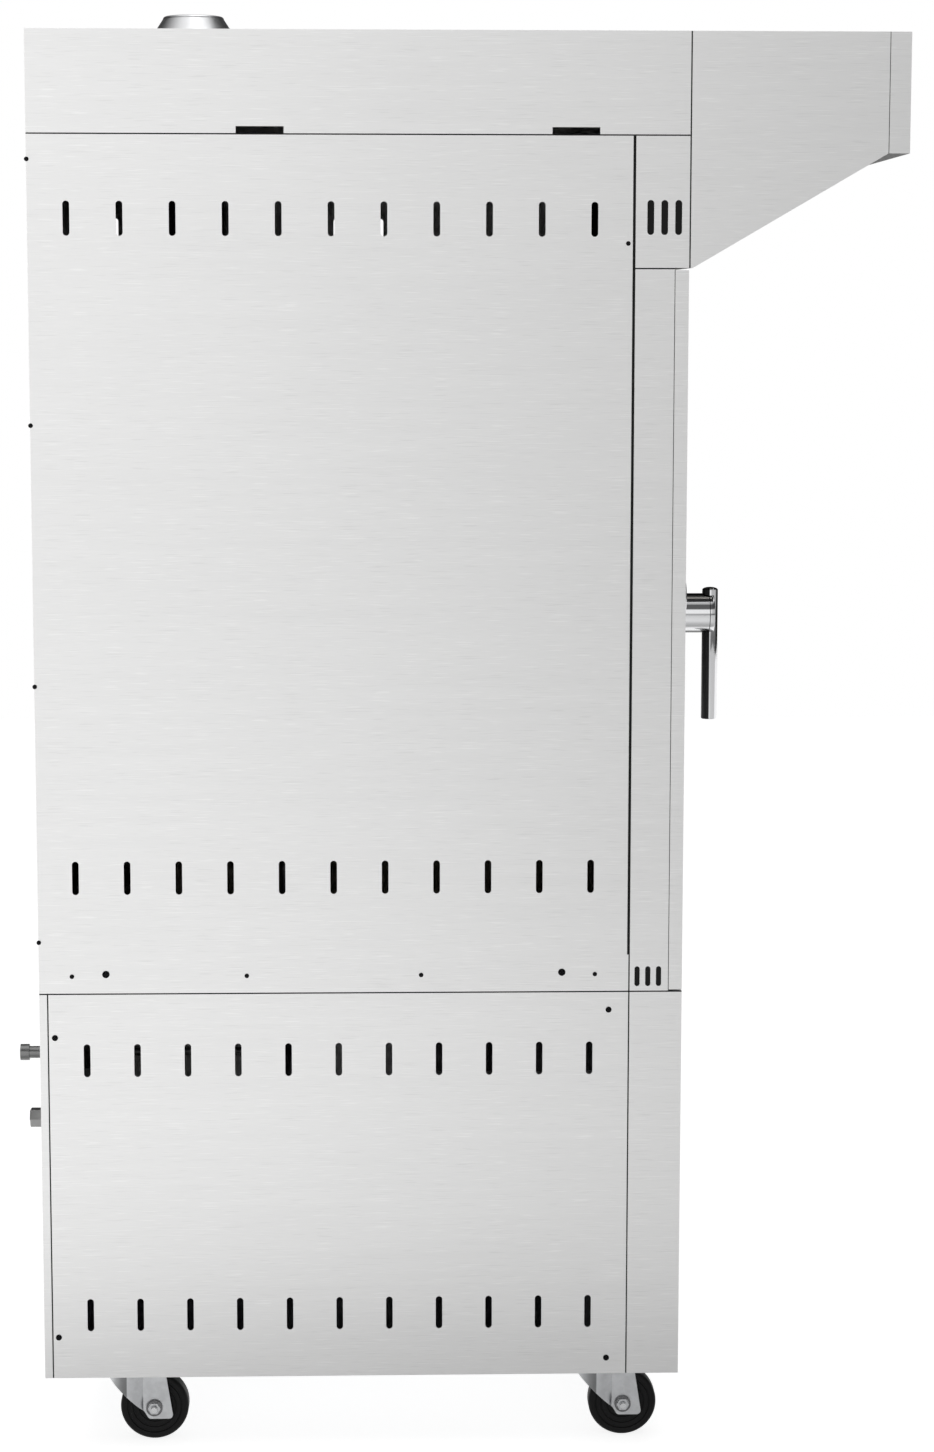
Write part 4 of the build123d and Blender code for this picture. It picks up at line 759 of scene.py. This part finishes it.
class Shape:
    """A mesh in the making, in the cabinet's frame."""

    def __init__(self) -> None:
        """Start an empty mesh."""
        self.mesh = bmesh.new()

    def turn(self, axis: Axis, centre: Vector, profile: list[tuple[float, float]], steps: int = 96) -> None:
        """Turn a profile about an axis.

        Args:
            axis: The direction of the axis.
            centre: The point on it that heights are measured from.
            profile: Radius and height of each point, from one end to the other.
            steps: How many flats go round.
        """
        along, across, up = (Vector(v) for v in axis.value)
        rings = []
        for radius, height in profile:
            middle = centre + along * height
            if radius < 1e-6:
                rings.append([self.mesh.verts.new(middle)])
                continue
            rings.append([self.mesh.verts.new(c) for c in ring_of(middle, radius, steps, across, up)])
        for low, high in zip(rings, rings[1:]):
            for i in range(steps):
                j = i + 1
                corners = (low[i % len(low)], low[j % len(low)], high[j % len(high)], high[i % len(high)])
                self.mesh.faces.new(list(dict.fromkeys(corners)))

    def plate(self, corners: list[Vector], thick: Vector) -> None:
        """Raise a flat outline into a plate.

        Args:
            corners: The outline, in order.
            thick: The way and the distance that it is raised.
        """
        low = [self.mesh.verts.new(c) for c in corners]
        high = [self.mesh.verts.new(c + thick) for c in corners]
        self.mesh.faces.new(low[::-1])
        self.mesh.faces.new(high)
        for i, j in zip(range(len(low)), [*range(1, len(low)), 0]):
            self.mesh.faces.new((low[i], low[j], high[j], high[i]))

    def frame_ring(self, outer: list[Vector], inner: list[Vector], thick: Vector) -> None:
        """Raise the band between two outlines with as many corners each."""
        count = len(outer)
        rings = (outer, inner, [c + thick for c in outer], [c + thick for c in inner])
        out_low, in_low, out_high, in_high = ([self.mesh.verts.new(c) for c in ring] for ring in rings)
        for i, j in zip(range(count), [*range(1, count), 0]):
            self.mesh.faces.new((in_low[i], in_low[j], out_low[j], out_low[i]))
            self.mesh.faces.new((out_high[i], out_high[j], in_high[j], in_high[i]))
            self.mesh.faces.new((out_low[i], out_low[j], out_high[j], out_high[i]))
            self.mesh.faces.new((in_high[i], in_high[j], in_low[j], in_low[i]))

    def finish(self, name: str, body: str, material: bpy.types.Material, slot: str, *stands_for: str) -> None:
        """Turn the mesh into a piece that rides on a body.

        Args:
            name: The piece's name.
            body: The CAD body that it rides on.
            material: What it is made of.
            slot: The record's material slot that it belongs to; not used.
            stands_for: The CAD nodes that it replaces.
        """
        bmesh.ops.recalc_face_normals(self.mesh, faces=self.mesh.faces)
        data = bpy.data.meshes.new(name)
        self.mesh.to_mesh(data)
        self.mesh.free()
        data.shade_smooth()
        data.set_sharp_from_angle(angle=math.radians(32))
        data.materials.append(material)
        piece = bpy.data.objects.new(name, data)
        bpy.context.scene.collection.objects.link(piece)
        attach(piece, body)
        if stands_for:
            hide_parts(*stands_for)
        LOG.info("made %s: %d faces on %s", name, len(data.polygons), body)


def rounded_outline(low: Point, high: Point, radius: float, y: float, steps: int = 8) -> list[Vector]:
    """Return a rounded rectangle that stands in the plane at y.

    Args:
        low: Its lowest X and Z.
        high: Its highest X and Z.
        radius: The radius of its corners.
        y: The plane that it stands in.
        steps: How many flats a corner has.

    Returns:
        The outline, in order.
    """
    middles = [(high[0] - radius, high[2] - radius), (low[0] + radius, high[2] - radius),
               (low[0] + radius, low[2] + radius), (high[0] - radius, low[2] + radius)]
    outline = []
    for quarter, (x, z) in enumerate(middles):
        for i in range(steps + 1):
            a = math.pi / 2 * (quarter + i / steps)
            outline.append(Vector((x + radius * math.cos(a), y, z + radius * math.sin(a))))
    return outline


def islands(node: str) -> list[tuple[Vector, Vector]]:
    """Return the box of each separate solid of a CAD node, as its lowest and highest corners."""
    mesh = bmesh.new()
    mesh.from_mesh(frame["nodes"][node].data)
    bmesh.ops.remove_doubles(mesh, verts=mesh.verts, dist=1e-6)
    left, boxes = set(mesh.verts), []
    while left:
        queue = [left.pop()]
        found = []
        while queue:
            vert = queue.pop()
            found.append(vert.co.copy())
            for edge in vert.link_edges:
                other = edge.other_vert(vert)
                if other in left:
                    left.remove(other)
                    queue.append(other)
        boxes.append((Vector(map(min, zip(*found))), Vector(map(max, zip(*found)))))
    mesh.free()
    return boxes


# ------------------------------------------------------------------ sub-assemblies
@dataclass
class Assembly:
    """A group of pieces that is dressed and made in one go."""

    palette: Palette

    def build(self) -> None:
        """Dress the group's CAD nodes and make its pieces."""
        raise NotImplementedError

    def add(self, shape: Shape, name: str, body: str, finish: Finish, slot: str, *stands_for: str) -> None:
        """Turn a shape into a piece.

        Args:
            shape: The finished shape.
            name: The piece's name.
            body: The CAD body that it rides on.
            finish: Its finish.
            slot: The record's material slot that it belongs to.
            stands_for: The CAD nodes that it replaces.
        """
        shape.finish(name, body, self.palette.get(finish), slot, *stands_for)


@dataclass
class CabinetShell(Assembly):
    """Outer panels, the frame inside them and everything fixed behind them."""

    outer: tuple[str, ...] = (
        *(f"{level}_side_panel_{side}" for level in ("lower", "upper") for side in ("left", "right")),
        "lower_rear_panel", "upper_rear_panel", "lower_front_cover",
        "top_cover", "header_box", "control_column", "door_frame",
    )
    inner: tuple[str, ...] = (
        "cabinet_frame", "base_pan", "floor_deck", "smoke_box", "smoke_duct", "flue_pipe",
    )

    def build(self) -> None:
        """Dress the panels, the frame and the wool."""
        self.palette.dress(BrushedSteel(), *self.outer)
        self.palette.dress(MillSteel(), *self.inner)
        self.palette.dress(MineralWool(), "insulation_jacket")
        self.palette.dress(ZincPressing(), "latch_keeper", "hinge_brackets")


@dataclass
class SeamShadeStrips(Assembly):
    """Near-black strips in every open line between two fixed panels and behind the small vents: painted shade
    where the gaps and vents are dark.
    """

    sunk: float = 0.4 * MM
    wall: float = 2.4 * MM
    vent_margin: float = 8.0 * MM
    thick: float = 0.9 * MM
    clear: float = 0.15 * MM

    def build(self) -> None:
        """Run the painted shade strips on both sides of the cabinet."""
        shape = Shape()
        upper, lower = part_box("upper_side_panel_right"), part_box("lower_side_panel_right")
        cover, canopy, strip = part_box("top_cover"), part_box("hood_canopy"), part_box("hood_fascia")
        column, fascia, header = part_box("control_column"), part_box("control_fascia"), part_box("header_box")
        front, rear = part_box("lower_front_cover"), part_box("lower_rear_panel")
        notch_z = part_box("chamber_liner")[0].z
        runs = [
            ((front[0].y, upper[1].y), (lower[1].z, upper[0].z)),
            ((lower[1].y, rear[0].y), (lower[0].z, lower[1].z)),
            ((front[1].y, lower[0].y), (lower[0].z, lower[1].z)),
            ((header[1].y, upper[0].y), (upper[0].z, notch_z)),
            ((header[1].y, upper[0].y + 2 * MM), (notch_z, upper[1].z)),
            ((cover[0].y, upper[1].y), (upper[1].z, cover[0].z)),
            ((canopy[1].y, cover[0].y), (header[0].z, cover[1].z)),
            ((strip[1].y, canopy[0].y), (strip[0].z, strip[1].z)),
            ((column[0].y, column[1].y), (column[1].z, header[0].z)),
        ]
        left = [((fascia[1].y, column[0].y), (fascia[0].z, fascia[1].z))]
        for side in (-1, 1):
            for y, z in runs + (left if side < 0 else []):
                self._run(shape, side * upper[1].x, y, z, self.sunk)
            vent_z = (header[0].z + self.vent_margin, header[1].z - self.vent_margin)
            self._run(shape, side * upper[1].x, (header[0].y + self.wall, header[1].y), vent_z, self.wall)
        foot_z = (column[0].z + self.wall, column[0].z + 6 * self.vent_margin)
        self._run(shape, column[0].x, (column[0].y, column[1].y - self.wall), foot_z, self.wall)
        # Painted shade: near-black strips sit where the gaps and vents are in shadow.
        rubber = BlackRubber(name="seam_rubber", tone=(0.002, 0.002, 0.002))
        self.add(shape, "seam_seals", "cabinet", rubber, "gasket_rubber")

    def _run(self, shape: Shape, side_x: float, y: Reach, z: Reach, sunk: float) -> None:
        """Add one run.

        Args:
            shape: The mesh that it goes into.
            side_x: The face of the panels.
            y: Where it starts and ends from front to rear.
            z: Where it starts and ends from bottom to top.
            sunk: How far it stands behind the face.
        """
        inward = -math.copysign(1.0, side_x)
        x = side_x + inward * sunk
        front, rear = y[0] + self.clear, y[1] - self.clear
        foot, head = z[0] + self.clear, z[1] - self.clear
        corners = [Vector((x, *c)) for c in ((front, foot), (rear, foot), (rear, head), (front, head))]
        shape.plate(corners, Vector((inward * self.thick, 0, 0)))


@dataclass
class ScrewHeads(Assembly):
    """Domed screw heads with a cross recess, one on each screw of the panels."""

    dome: float = 0.35
    recess_reach: float = 0.62
    recess_width: float = 0.17
    steps: int = 32
    proud: float = 2.4 * MM
    rear_proud: float = 0.5 * MM

    def build(self) -> None:
        """Make the heads on each side, and the flat ones on the rear, as one piece."""
        shape = Shape()
        side_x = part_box("lower_side_panel_right")[1].x
        for low, high in islands("panel_screws"):
            middle, size = (low + high) / 2, high - low
            if size.x > size.y:
                sign = math.copysign(1.0, middle.x)
                face = Vector((sign * side_x, middle.y, middle.z))
                self._head(shape, face, Vector((sign, 0, 0)), size.y / 2, self.proud)
            else:
                face = Vector((middle.x, high.y - self.proud, middle.z))
                self._head(shape, face, Vector((0, 1, 0)), size.x / 2, self.rear_proud)
        self.add(shape, "screw_heads", "cabinet", ScrewSteel(), "screw_steel", "panel_screws")

    def _head(self, shape: Shape, face: Vector, out: Vector, radius: float, proud: float) -> None:
        """Add one head.

        Args:
            shape: The mesh that it goes into.
            face: The middle of the head where it meets the panel.
            out: The way that it stands out.
            radius: Its radius.
            proud: How far it stands out.
        """
        across = Vector((0, 0, 1))
        up = out.cross(across)
        rim = proud * (1 - self.dome)
        levels = [(1.0, 0.0), (1.0, rim * 0.6), (0.94, rim), (0.78, proud * 0.90), (self.recess_reach, proud)]
        rings = []
        for share, height in levels:
            corners = ring_of(face + out * height, radius * share, self.steps, across, up)
            rings.append([shape.mesh.verts.new(c) for c in corners])
        for low, high in zip(rings, rings[1:]):
            for i in range(self.steps):
                j = (i + 1) % self.steps
                shape.mesh.faces.new((low[i], low[j], high[j], high[i]))
        self._recess(shape, face + out * proud, face + out * proud * 0.25, radius, rings[-1], across, up)

    def _recess(
        self, shape: Shape, top: Vector, deep: Vector, radius: float, rim: list, across: Vector, up: Vector,
    ) -> None:
        """Close the head with a cross that is sunk from its top to the point deep."""
        floor = []
        for i, vert in enumerate(rim):
            angle = 2 * math.pi * i / self.steps
            spread = min(abs(math.cos(angle)), abs(math.sin(angle)))
            in_arm = spread < self.recess_width / self.recess_reach
            reach = self.recess_reach if in_arm else self.recess_width * 1.5
            flat = (across * math.cos(angle) + up * math.sin(angle)) * radius * reach * 0.96
            floor.append((shape.mesh.verts.new(top + flat), shape.mesh.verts.new(deep + flat * 0.8)))
        middle = shape.mesh.verts.new(deep)
        for i in range(self.steps):
            j = (i + 1) % self.steps
            shape.mesh.faces.new((rim[i], rim[j], floor[j][0], floor[i][0]))
            shape.mesh.faces.new((floor[i][0], floor[j][0], floor[j][1], floor[i][1]))
            shape.mesh.faces.new((floor[i][1], floor[j][1], middle))


@dataclass
class Casters(Assembly):
    """Swivel casters: zinc forks and plates from the CAD, and moulded wheels turned here."""

    ends: tuple[str, ...] = ("rear", "front")
    sides: tuple[str, ...] = ("left", "right")
    shoulder: float = 6.0 * MM
    groove: float = 0.9 * MM
    bore: float = 6.05 * MM
    nut_corner: float = 9.4 * MM
    nut_height: float = 6.0 * MM
    washer: Reach = (12.0 * MM, 1.1 * MM)
    stud: Reach = (4.6 * MM, 2.2 * MM)

    def build(self) -> None:
        """Dress the forks and make the four wheels with their axle ends."""
        self.palette.dress(ZincPressing(), "caster_plates")
        for end in self.ends:
            for side in self.sides:
                place = f"{end}_{side}"
                self.palette.dress(ZincPressing(), f"caster_fork_{place}")
                self._wheel(place)
                self._axle_ends(place)

    def _profile(self, radius: float, half: float) -> list[tuple[float, float]]:
        """Return half of the wheel's outline, from its bore to the middle of its tread.

        Args:
            radius: The wheel's radius.
            half: Half of its width.

        Returns:
            Radius and height of each point.
        """
        steps = [(0.25, 0.0), (0.27, 0.6), (0.29, 3.0)]
        for start, low, high in ((0.44, 3.6, 3.6), (0.61, 3.4, 3.3), (0.77, 2.8, 2.2)):
            floor = low + self.groove / MM
            steps += [(start, low), (start + 0.01, floor), (start + 0.03, floor), (start + 0.04, high)]
        steps.append((0.88, 1.4))
        side = [(self.bore, half)] + [(radius * share, half - drop * MM) for share, drop in steps]
        rim, edge = side[-1]
        for i in range(1, 9):
            a = math.pi / 2 * i / 8
            side.append((rim + (radius - rim) * math.sin(a), edge - self.shoulder * (1 - math.cos(a))))
        return side

    def _axle_ends(self, place: str) -> None:
        """Set a washer round each axle nut and a threaded stud end in it; the washer's near-black zinc is
        painted shade round the nut.
        """
        fork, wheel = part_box(f"caster_fork_{place}"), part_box(f"caster_wheel_{place}")
        middle = (wheel[0] + wheel[1]) / 2
        washers, studs = Shape(), Shape()
        for side, face_x in ((-1, fork[0].x), (1, fork[1].x)):
            cheek = Vector((face_x - side * self.nut_height, middle.y, middle.z))
            reach, thick = self.washer
            hole, gap = self.nut_corner, 0.02 * MM
            rim = [(hole, gap), (reach, gap), (reach, thick * 0.7), (reach - 0.4 * MM, thick), (hole, thick)]
            rim.append(rim[0])
            washers.turn(Axis.X, cheek, [(r, side * h) for r, h in rim], 48)
            top = Vector((face_x, middle.y, middle.z))
            radius, proud = self.stud
            gap = 0.05 * MM
            end = [(0.0, gap), (radius, gap), (radius, proud * 0.7), (radius * 0.8, proud), (0.0, proud)]
            studs.turn(Axis.X, top, [(r, side * h) for r, h in end], 32)
        body = f"caster_fork_{place}"
        # Painted shade: the washer is near black to stand for the shade round the nut.
        dull = ZincPressing(name="washer_zinc", tone=(0.16, 0.16, 0.165))
        bright = PolishedChrome(name="stud_plate", haze=0.2)
        self.add(washers, f"axle_washers_{place}", body, dull, "zinc_steel")
        self.add(studs, f"axle_studs_{place}", body, bright, "zinc_steel")

    def _wheel(self, place: str) -> None:
        """Make one wheel from its CAD box."""
        node = f"caster_wheel_{place}"
        low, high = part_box(node)
        half = (high.x - low.x) / 2
        outline = self._profile((high.z - low.z) / 2, half)
        profile = outline + [(r, -h) for r, h in reversed(outline)]
        shape = Shape()
        shape.turn(Axis.X, (low + high) / 2, profile + [profile[0]])
        bmesh.ops.remove_doubles(shape.mesh, verts=shape.mesh.verts, dist=1e-7)
        self.add(shape, f"wheel_{place}", node, BlackRubber(), "wheel_rubber", node)


@dataclass
class DoorLeaf(Assembly):
    """The door: brushed skin, lining, pane with its dark border, and gasket."""

    border: float = 20.0 * MM
    lap: float = 2.0 * MM
    proud: float = 0.8 * MM
    print_gap: float = 0.05 * MM
    corner: float = 10.0 * MM

    def build(self) -> None:
        """Dress the door's nodes and frame its pane."""
        self.palette.dress(BrushedSteel(), "door_skin")
        self.palette.dress(SmokedSteel(), "door_inner_panel")
        self.palette.dress(ClearGlass(), "door_window")
        self.palette.dress(SiliconeGasket(), "door_gasket")
        low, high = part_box("door_window")
        edge_y = low.y - self.print_gap
        shape = Shape()
        insets = (Vector((inset, 0, inset)) for inset in (self.lap, self.lap + self.border))
        rings = [rounded_outline(low + inset, high - inset, self.corner, edge_y) for inset in insets]
        shape.frame_ring(*rings, Vector((0, -self.proud, 0)))
        self.add(shape, "window_border", "door", BlackGlass(), "display_glass")


@dataclass
class LeverHandle(Assembly):
    """Polished lever: a turned hub on the door and an upright bar with a domed top."""

    bar_radius: float = 11.5 * MM
    sunk: float = 5.0 * MM
    groove: float = 0.5 * MM
    ease: float = 1.2 * MM
    dome: float = 4.0 * MM

    def build(self) -> None:
        """Make the hub and the bar in the CAD handle's place."""
        self.palette.dress(PolishedChrome(), "latch_spindle")
        low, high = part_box("door_handle")
        radius = (high.x - low.x) / 2
        middle_x = (low.x + high.x) / 2
        axis_z = next(j for j in frame["joints"] if j["name"] == "handle_turn")["pos_m"][2]
        shape = Shape()
        length = high.y - low.y - self.bar_radius + self.sunk
        shape.turn(Axis.Y, Vector((middle_x, high.y, axis_z)), self._hub(radius, length), 128)
        bar = Vector((middle_x, low.y + self.bar_radius, axis_z))
        shape.turn(Axis.Z, bar, self._bar(self.bar_radius, low.z - axis_z, high.z - axis_z), 96)
        chrome = PolishedChrome(name="lever_chrome", shade=0.97)
        self.add(shape, "lever_handle", "handle", chrome, "polished_chrome", "door_handle")

    def _hub(self, radius: float, length: float) -> list[tuple[float, float]]:
        """Return the hub's outline along its axis, towards the operator."""
        points = [(0.0, 0.0), (radius, 0.0)]
        for share in (0.12, 0.88):
            at = -length * share
            points += [(radius, at + self.groove), (radius - self.groove, at), (radius, at - self.groove)]
        ease, chamfer = self.ease, self.ease * 0.3
        points += [(radius, ease - length), (radius - chamfer, chamfer - length), (radius - ease, -length)]
        return points + [(0.0, -length)]

    def _bar(self, radius: float, low: float, high: float) -> list[tuple[float, float]]:
        """Return the bar's outline from its foot to its domed top."""
        ease, chamfer = self.ease, self.ease * 0.3
        points = [(0.0, low), (radius - ease, low), (radius - chamfer, low + chamfer), (radius, low + ease)]
        for i in range(9):
            a = math.pi / 2 * i / 8
            points.append((radius * math.cos(a), high - self.dome + self.dome * math.sin(a)))
        points[-1] = (0.0, high)
        return points


@dataclass
class HoodCanopy(Assembly):
    """Canopy over the door with its front strip and the grease filter inside."""

    def build(self) -> None:
        """Dress the canopy, its front and the filter."""
        self.palette.dress(BrushedSteel(name="hood_steel", underside_shade=0.95), "hood_canopy", "hood_fascia")
        self.palette.dress(SmokedSteel(), "hood_filter")


@dataclass
class FlueOutlet(Assembly):
    """Roof collar, damper plate and its actuator."""

    def build(self) -> None:
        """Dress the collar, the damper and the actuator."""
        self.palette.dress(PolishedChrome(name="flue_chrome", haze=0.34), "flue_collar")
        self.palette.dress(SmokedSteel(), "flue_damper")
        self.palette.dress(MotorPaint(), "damper_actuator")


@dataclass
class ControlPanel(Assembly):
    """Fascia strip with a display, a temperature dial and a start button."""

    tick_count: int = 11
    sweep: float = math.radians(270)
    tick_gap: float = 4.0 * MM
    tick_length: float = 4.0 * MM
    tick_width: float = 0.9 * MM
    tick_thick: float = 0.15 * MM
    segment: float = 3.0 * MM
    digit_height: float = 34.0 * MM
    digit_pitch: float = 27.0 * MM

    def build(self) -> None:
        """Dress the controls and draw the dial's scale and the display's digits."""
        low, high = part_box("temperature_dial")
        middle = (low + high) / 2
        self.palette.dress(BrushedSteel(), "control_fascia")
        self.palette.dress(BlackGlass(), "display_glass")
        self.palette.dress(TurnedAluminium(axis_x=middle.x, axis_z=middle.z), "temperature_dial")
        self.palette.dress(MouldedPlastic("button_plastic", (0.03, 0.22, 0.07)), "start_button")
        self._scale(middle, (high.x - low.x) / 2)
        self._digits()

    def _scale(self, middle: Vector, radius: float) -> None:
        """Set tick marks round the dial.

        Args:
            middle: The middle of the dial.
            radius: The dial's radius.
        """
        shape = Shape()
        face_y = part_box("control_fascia")[0].y
        for i in range(self.tick_count):
            angle = math.radians(225) - self.sweep * i / (self.tick_count - 1)
            out = Vector((math.cos(angle), 0, math.sin(angle)))
            side = Vector((-out.z, 0, out.x)) * self.tick_width / 2
            start = Vector((middle.x, face_y, middle.z)) + out * (radius + self.tick_gap)
            end = start + out * self.tick_length
            corners = [start - side, end - side, end + side, start + side]
            shape.plate(corners, Vector((0, -self.tick_thick, 0)))
        ink = MouldedPlastic("scale_ink", (0.02, 0.02, 0.022), 0.5)
        self.add(shape, "dial_scale", "cabinet", ink, "display_glass")

    def _digits(self) -> None:
        """Light three digits behind the display glass."""
        low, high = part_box("display_glass")
        middle = (low + high) / 2
        shape = Shape()
        lit = {"1": "bc", "2": "abged", "0": "abcdef"}
        for place, digit in enumerate("120"):
            x = middle.x + (place - 1) * self.digit_pitch
            for name in lit[digit]:
                self._segment(shape, Vector((x, low.y, middle.z)), name)
        lamp = Lamp("display_lamp", (1.0, 0.12, 0.04))
        self.add(shape, "display_digits", "cabinet", lamp, "display_glass")

    def _segment(self, shape: Shape, centre: Vector, name: str) -> None:
        """Add one bar of a seven-bar digit."""
        half, wide = self.digit_height / 4, self.digit_height * 0.24
        places = {
            "a": (0, 2 * half, True), "g": (0, 0, True), "d": (0, -2 * half, True),
            "b": (wide, half, False), "c": (wide, -half, False),
            "e": (-wide, -half, False), "f": (-wide, half, False),
        }
        x, z, level = places[name]
        long, thin = (wide if level else half) - self.segment * 0.6, self.segment / 2
        reach = (long, thin) if level else (thin, long)
        middle = centre + Vector((x, 0, z))
        signs = ((-1, -1), (1, -1), (1, 1), (-1, 1))
        corners = [middle + Vector((sx * reach[0], 0, sz * reach[1])) for sx, sz in signs]
        shape.plate(corners, Vector((0, -self.tick_thick, 0)))


@dataclass
class SmokeChamber(Assembly):
    """Everything in the chamber: lining, racks, pan, fan and heating element."""

    racks: tuple[str, ...] = ("rack_1", "rack_2", "rack_3")

    def build(self) -> None:
        """Dress the chamber's nodes."""
        smoked = ("chamber_liner", "rack_guides", "fan_baffle", "fan_wheel", "water_pan")
        self.palette.dress(SmokedSteel(), *smoked)
        self.palette.dress(PlatedWire(), *self.racks)
        self.palette.dress(HeatedSheath(), "heating_element")
        self.palette.dress(MotorPaint(), "fan_motor")
        self.palette.dress(BrushedSteel(), "chip_drawer")


@dataclass
class WaterService(Assembly):
    """Water inlet, drain socket and the pipes between them and the chamber."""

    def build(self) -> None:
        """Dress the fittings and the pipes."""
        self.palette.dress(PlatedFitting(), "drain_socket", "water_pipes")
        inlet = PlatedFitting(name="inlet_metal", tone=(0.20, 0.20, 0.20), lime=(0.3, 0.3, 0.3))
        self.palette.dress(inlet, "water_inlet")


@dataclass
class Studio(Assembly):
    """White studio: floor, soft lights, a graded surround and the camera."""

    floor_size: float = 16.0
    camera_place: Point = (-4.95497, 0.12638, 1.65573)
    yaw: float = -0.0322922445
    pitch: float = 0.129536440
    roll: float = -0.00147966513
    lens: float = 79.63
    sensor: float = 36.0
    fill: float = 1.0
    softboxes: list[tuple[str, Point, Point, float, float]] = field(default_factory=lambda: [
        ("overhead", (0.0, 0.6, 4.2), (0.0, 0.3, 0.0), 3.6, 20.0),
        ("rear_floor", (-1.6, 1.8, 2.4), (-1.3, 1.0, 0.0), 1.0, 10.0),
    ])

    def build(self) -> None:
        """Set the floor, the lights, the surround and the camera."""
        self._floor()
        self._surround()
        for name, place, aim, size, watts in self.softboxes:
            self._softbox(name, Vector(place), Vector(aim), size, watts)
        self._camera()
        view = bpy.context.scene.view_settings
        view.view_transform = "Standard"
        view.look = "None"

    def _floor(self) -> None:
        """Lay the pale floor."""
        half = self.floor_size / 2
        mesh = bpy.data.meshes.new("floor")
        corners = [(-half, -half, 0), (half, -half, 0), (half, half, 0), (-half, half, 0)]
        mesh.from_pydata(corners, [], [(0, 1, 2, 3)])
        mesh.materials.append(self.palette.get(StudioFloor()))
        floor = bpy.data.objects.new("floor", mesh)
        bpy.context.scene.collection.objects.link(floor)

    def _surround(self) -> None:
        """Grade the surround: white to the eye, brighter behind the rear, darker beyond the object."""
        world = bpy.data.worlds.new("studio")
        bpy.context.scene.world = world
        world.use_nodes = True
        recipe = Recipe(world.node_tree)
        way = recipe.node("ShaderNodeTexCoord", output="Generated")
        x, y, z = (recipe.part(way, axis) for axis in ("X", "Y", "Z"))
        grade = recipe.span(y, -0.45, 0.35, 0.40, 1.22)
        beyond = recipe.span(x, -0.30, 0.28, 1.0, 0.05)
        rear_flag = recipe.span(y, 0.34, 0.46) * recipe.span(abs(z), 0.8, 0.6) * 0.94
        top_flag = recipe.span(z, 0.36, 0.48) * 0.88
        shaded = 1.0 - recipe.span(y, 0.06, -0.17) * recipe.span(z, 0.10, -0.08) * 0.68
        lift = recipe.span(z, -0.20, 0.05, 1.06, 1.32)
        above = recipe.span(z, 0.80, 0.90) * recipe.span(y, 0.22, -0.02, 0.45, 1.3)
        lit = grade * lift * beyond * shaded * (1.0 - rear_flag) * (1.0 - top_flag)
        glow = (lit + above) * self.fill
        seen = recipe.node("ShaderNodeLightPath", output="Is Camera Ray")
        strength = seen + (1.0 - seen) * glow
        white = (1.0, 1.0, 1.0, 1.0)
        sky = recipe.node("ShaderNodeBackground", sockets={"Color": white, "Strength": strength})
        recipe.node("ShaderNodeOutputWorld", sockets={0: sky})

    def _softbox(self, name: str, place: Vector, aim: Vector, size: float, watts: float) -> None:
        """Hang one soft light.

        Args:
            name: The light's name.
            place: Where it hangs.
            aim: The point that it shines at.
            size: The side of its square face.
            watts: Its power.
        """
        light = bpy.data.lights.new(name, "AREA")
        light.size, light.energy = size, watts
        lamp = bpy.data.objects.new(name, light)
        lamp.location = place
        lamp.rotation_euler = (aim - place).to_track_quat("-Z", "Y").to_euler()
        bpy.context.scene.collection.objects.link(lamp)

    def _camera(self) -> None:
        """Stand the camera on the control side, a little above the middle."""
        ahead = math.cos(self.pitch)
        forward = Vector((math.cos(self.yaw) * ahead, math.sin(self.yaw) * ahead, -math.sin(self.pitch)))
        level = forward.cross(Vector((0, 0, 1))).normalized()
        down = forward.cross(level)
        right = level * math.cos(self.roll) + down * math.sin(self.roll)
        drop = down * math.cos(self.roll) - level * math.sin(self.roll)
        data = bpy.data.cameras.new("camera")
        data.lens, data.sensor_width = self.lens, self.sensor
        camera = bpy.data.objects.new("camera", data)
        turn = Matrix((right, -drop, -forward)).transposed().to_4x4()
        camera.matrix_world = Matrix.Translation(self.camera_place) @ turn
        bpy.context.scene.collection.objects.link(camera)
        bpy.context.scene.camera = camera


def main() -> None:
    """Build every sub-assembly in order and set the studio."""
    logging.basicConfig(level=logging.INFO, format="%(name)s: %(message)s")
    palette = Palette()
    assemblies = (
        Studio, CabinetShell, SeamShadeStrips, ScrewHeads, Casters, DoorLeaf,
        LeverHandle, HoodCanopy, FlueOutlet, ControlPanel, SmokeChamber, WaterService,
    )
    for assembly in assemblies:
        assembly(palette).build()


if __name__ == "__main__":
    main()
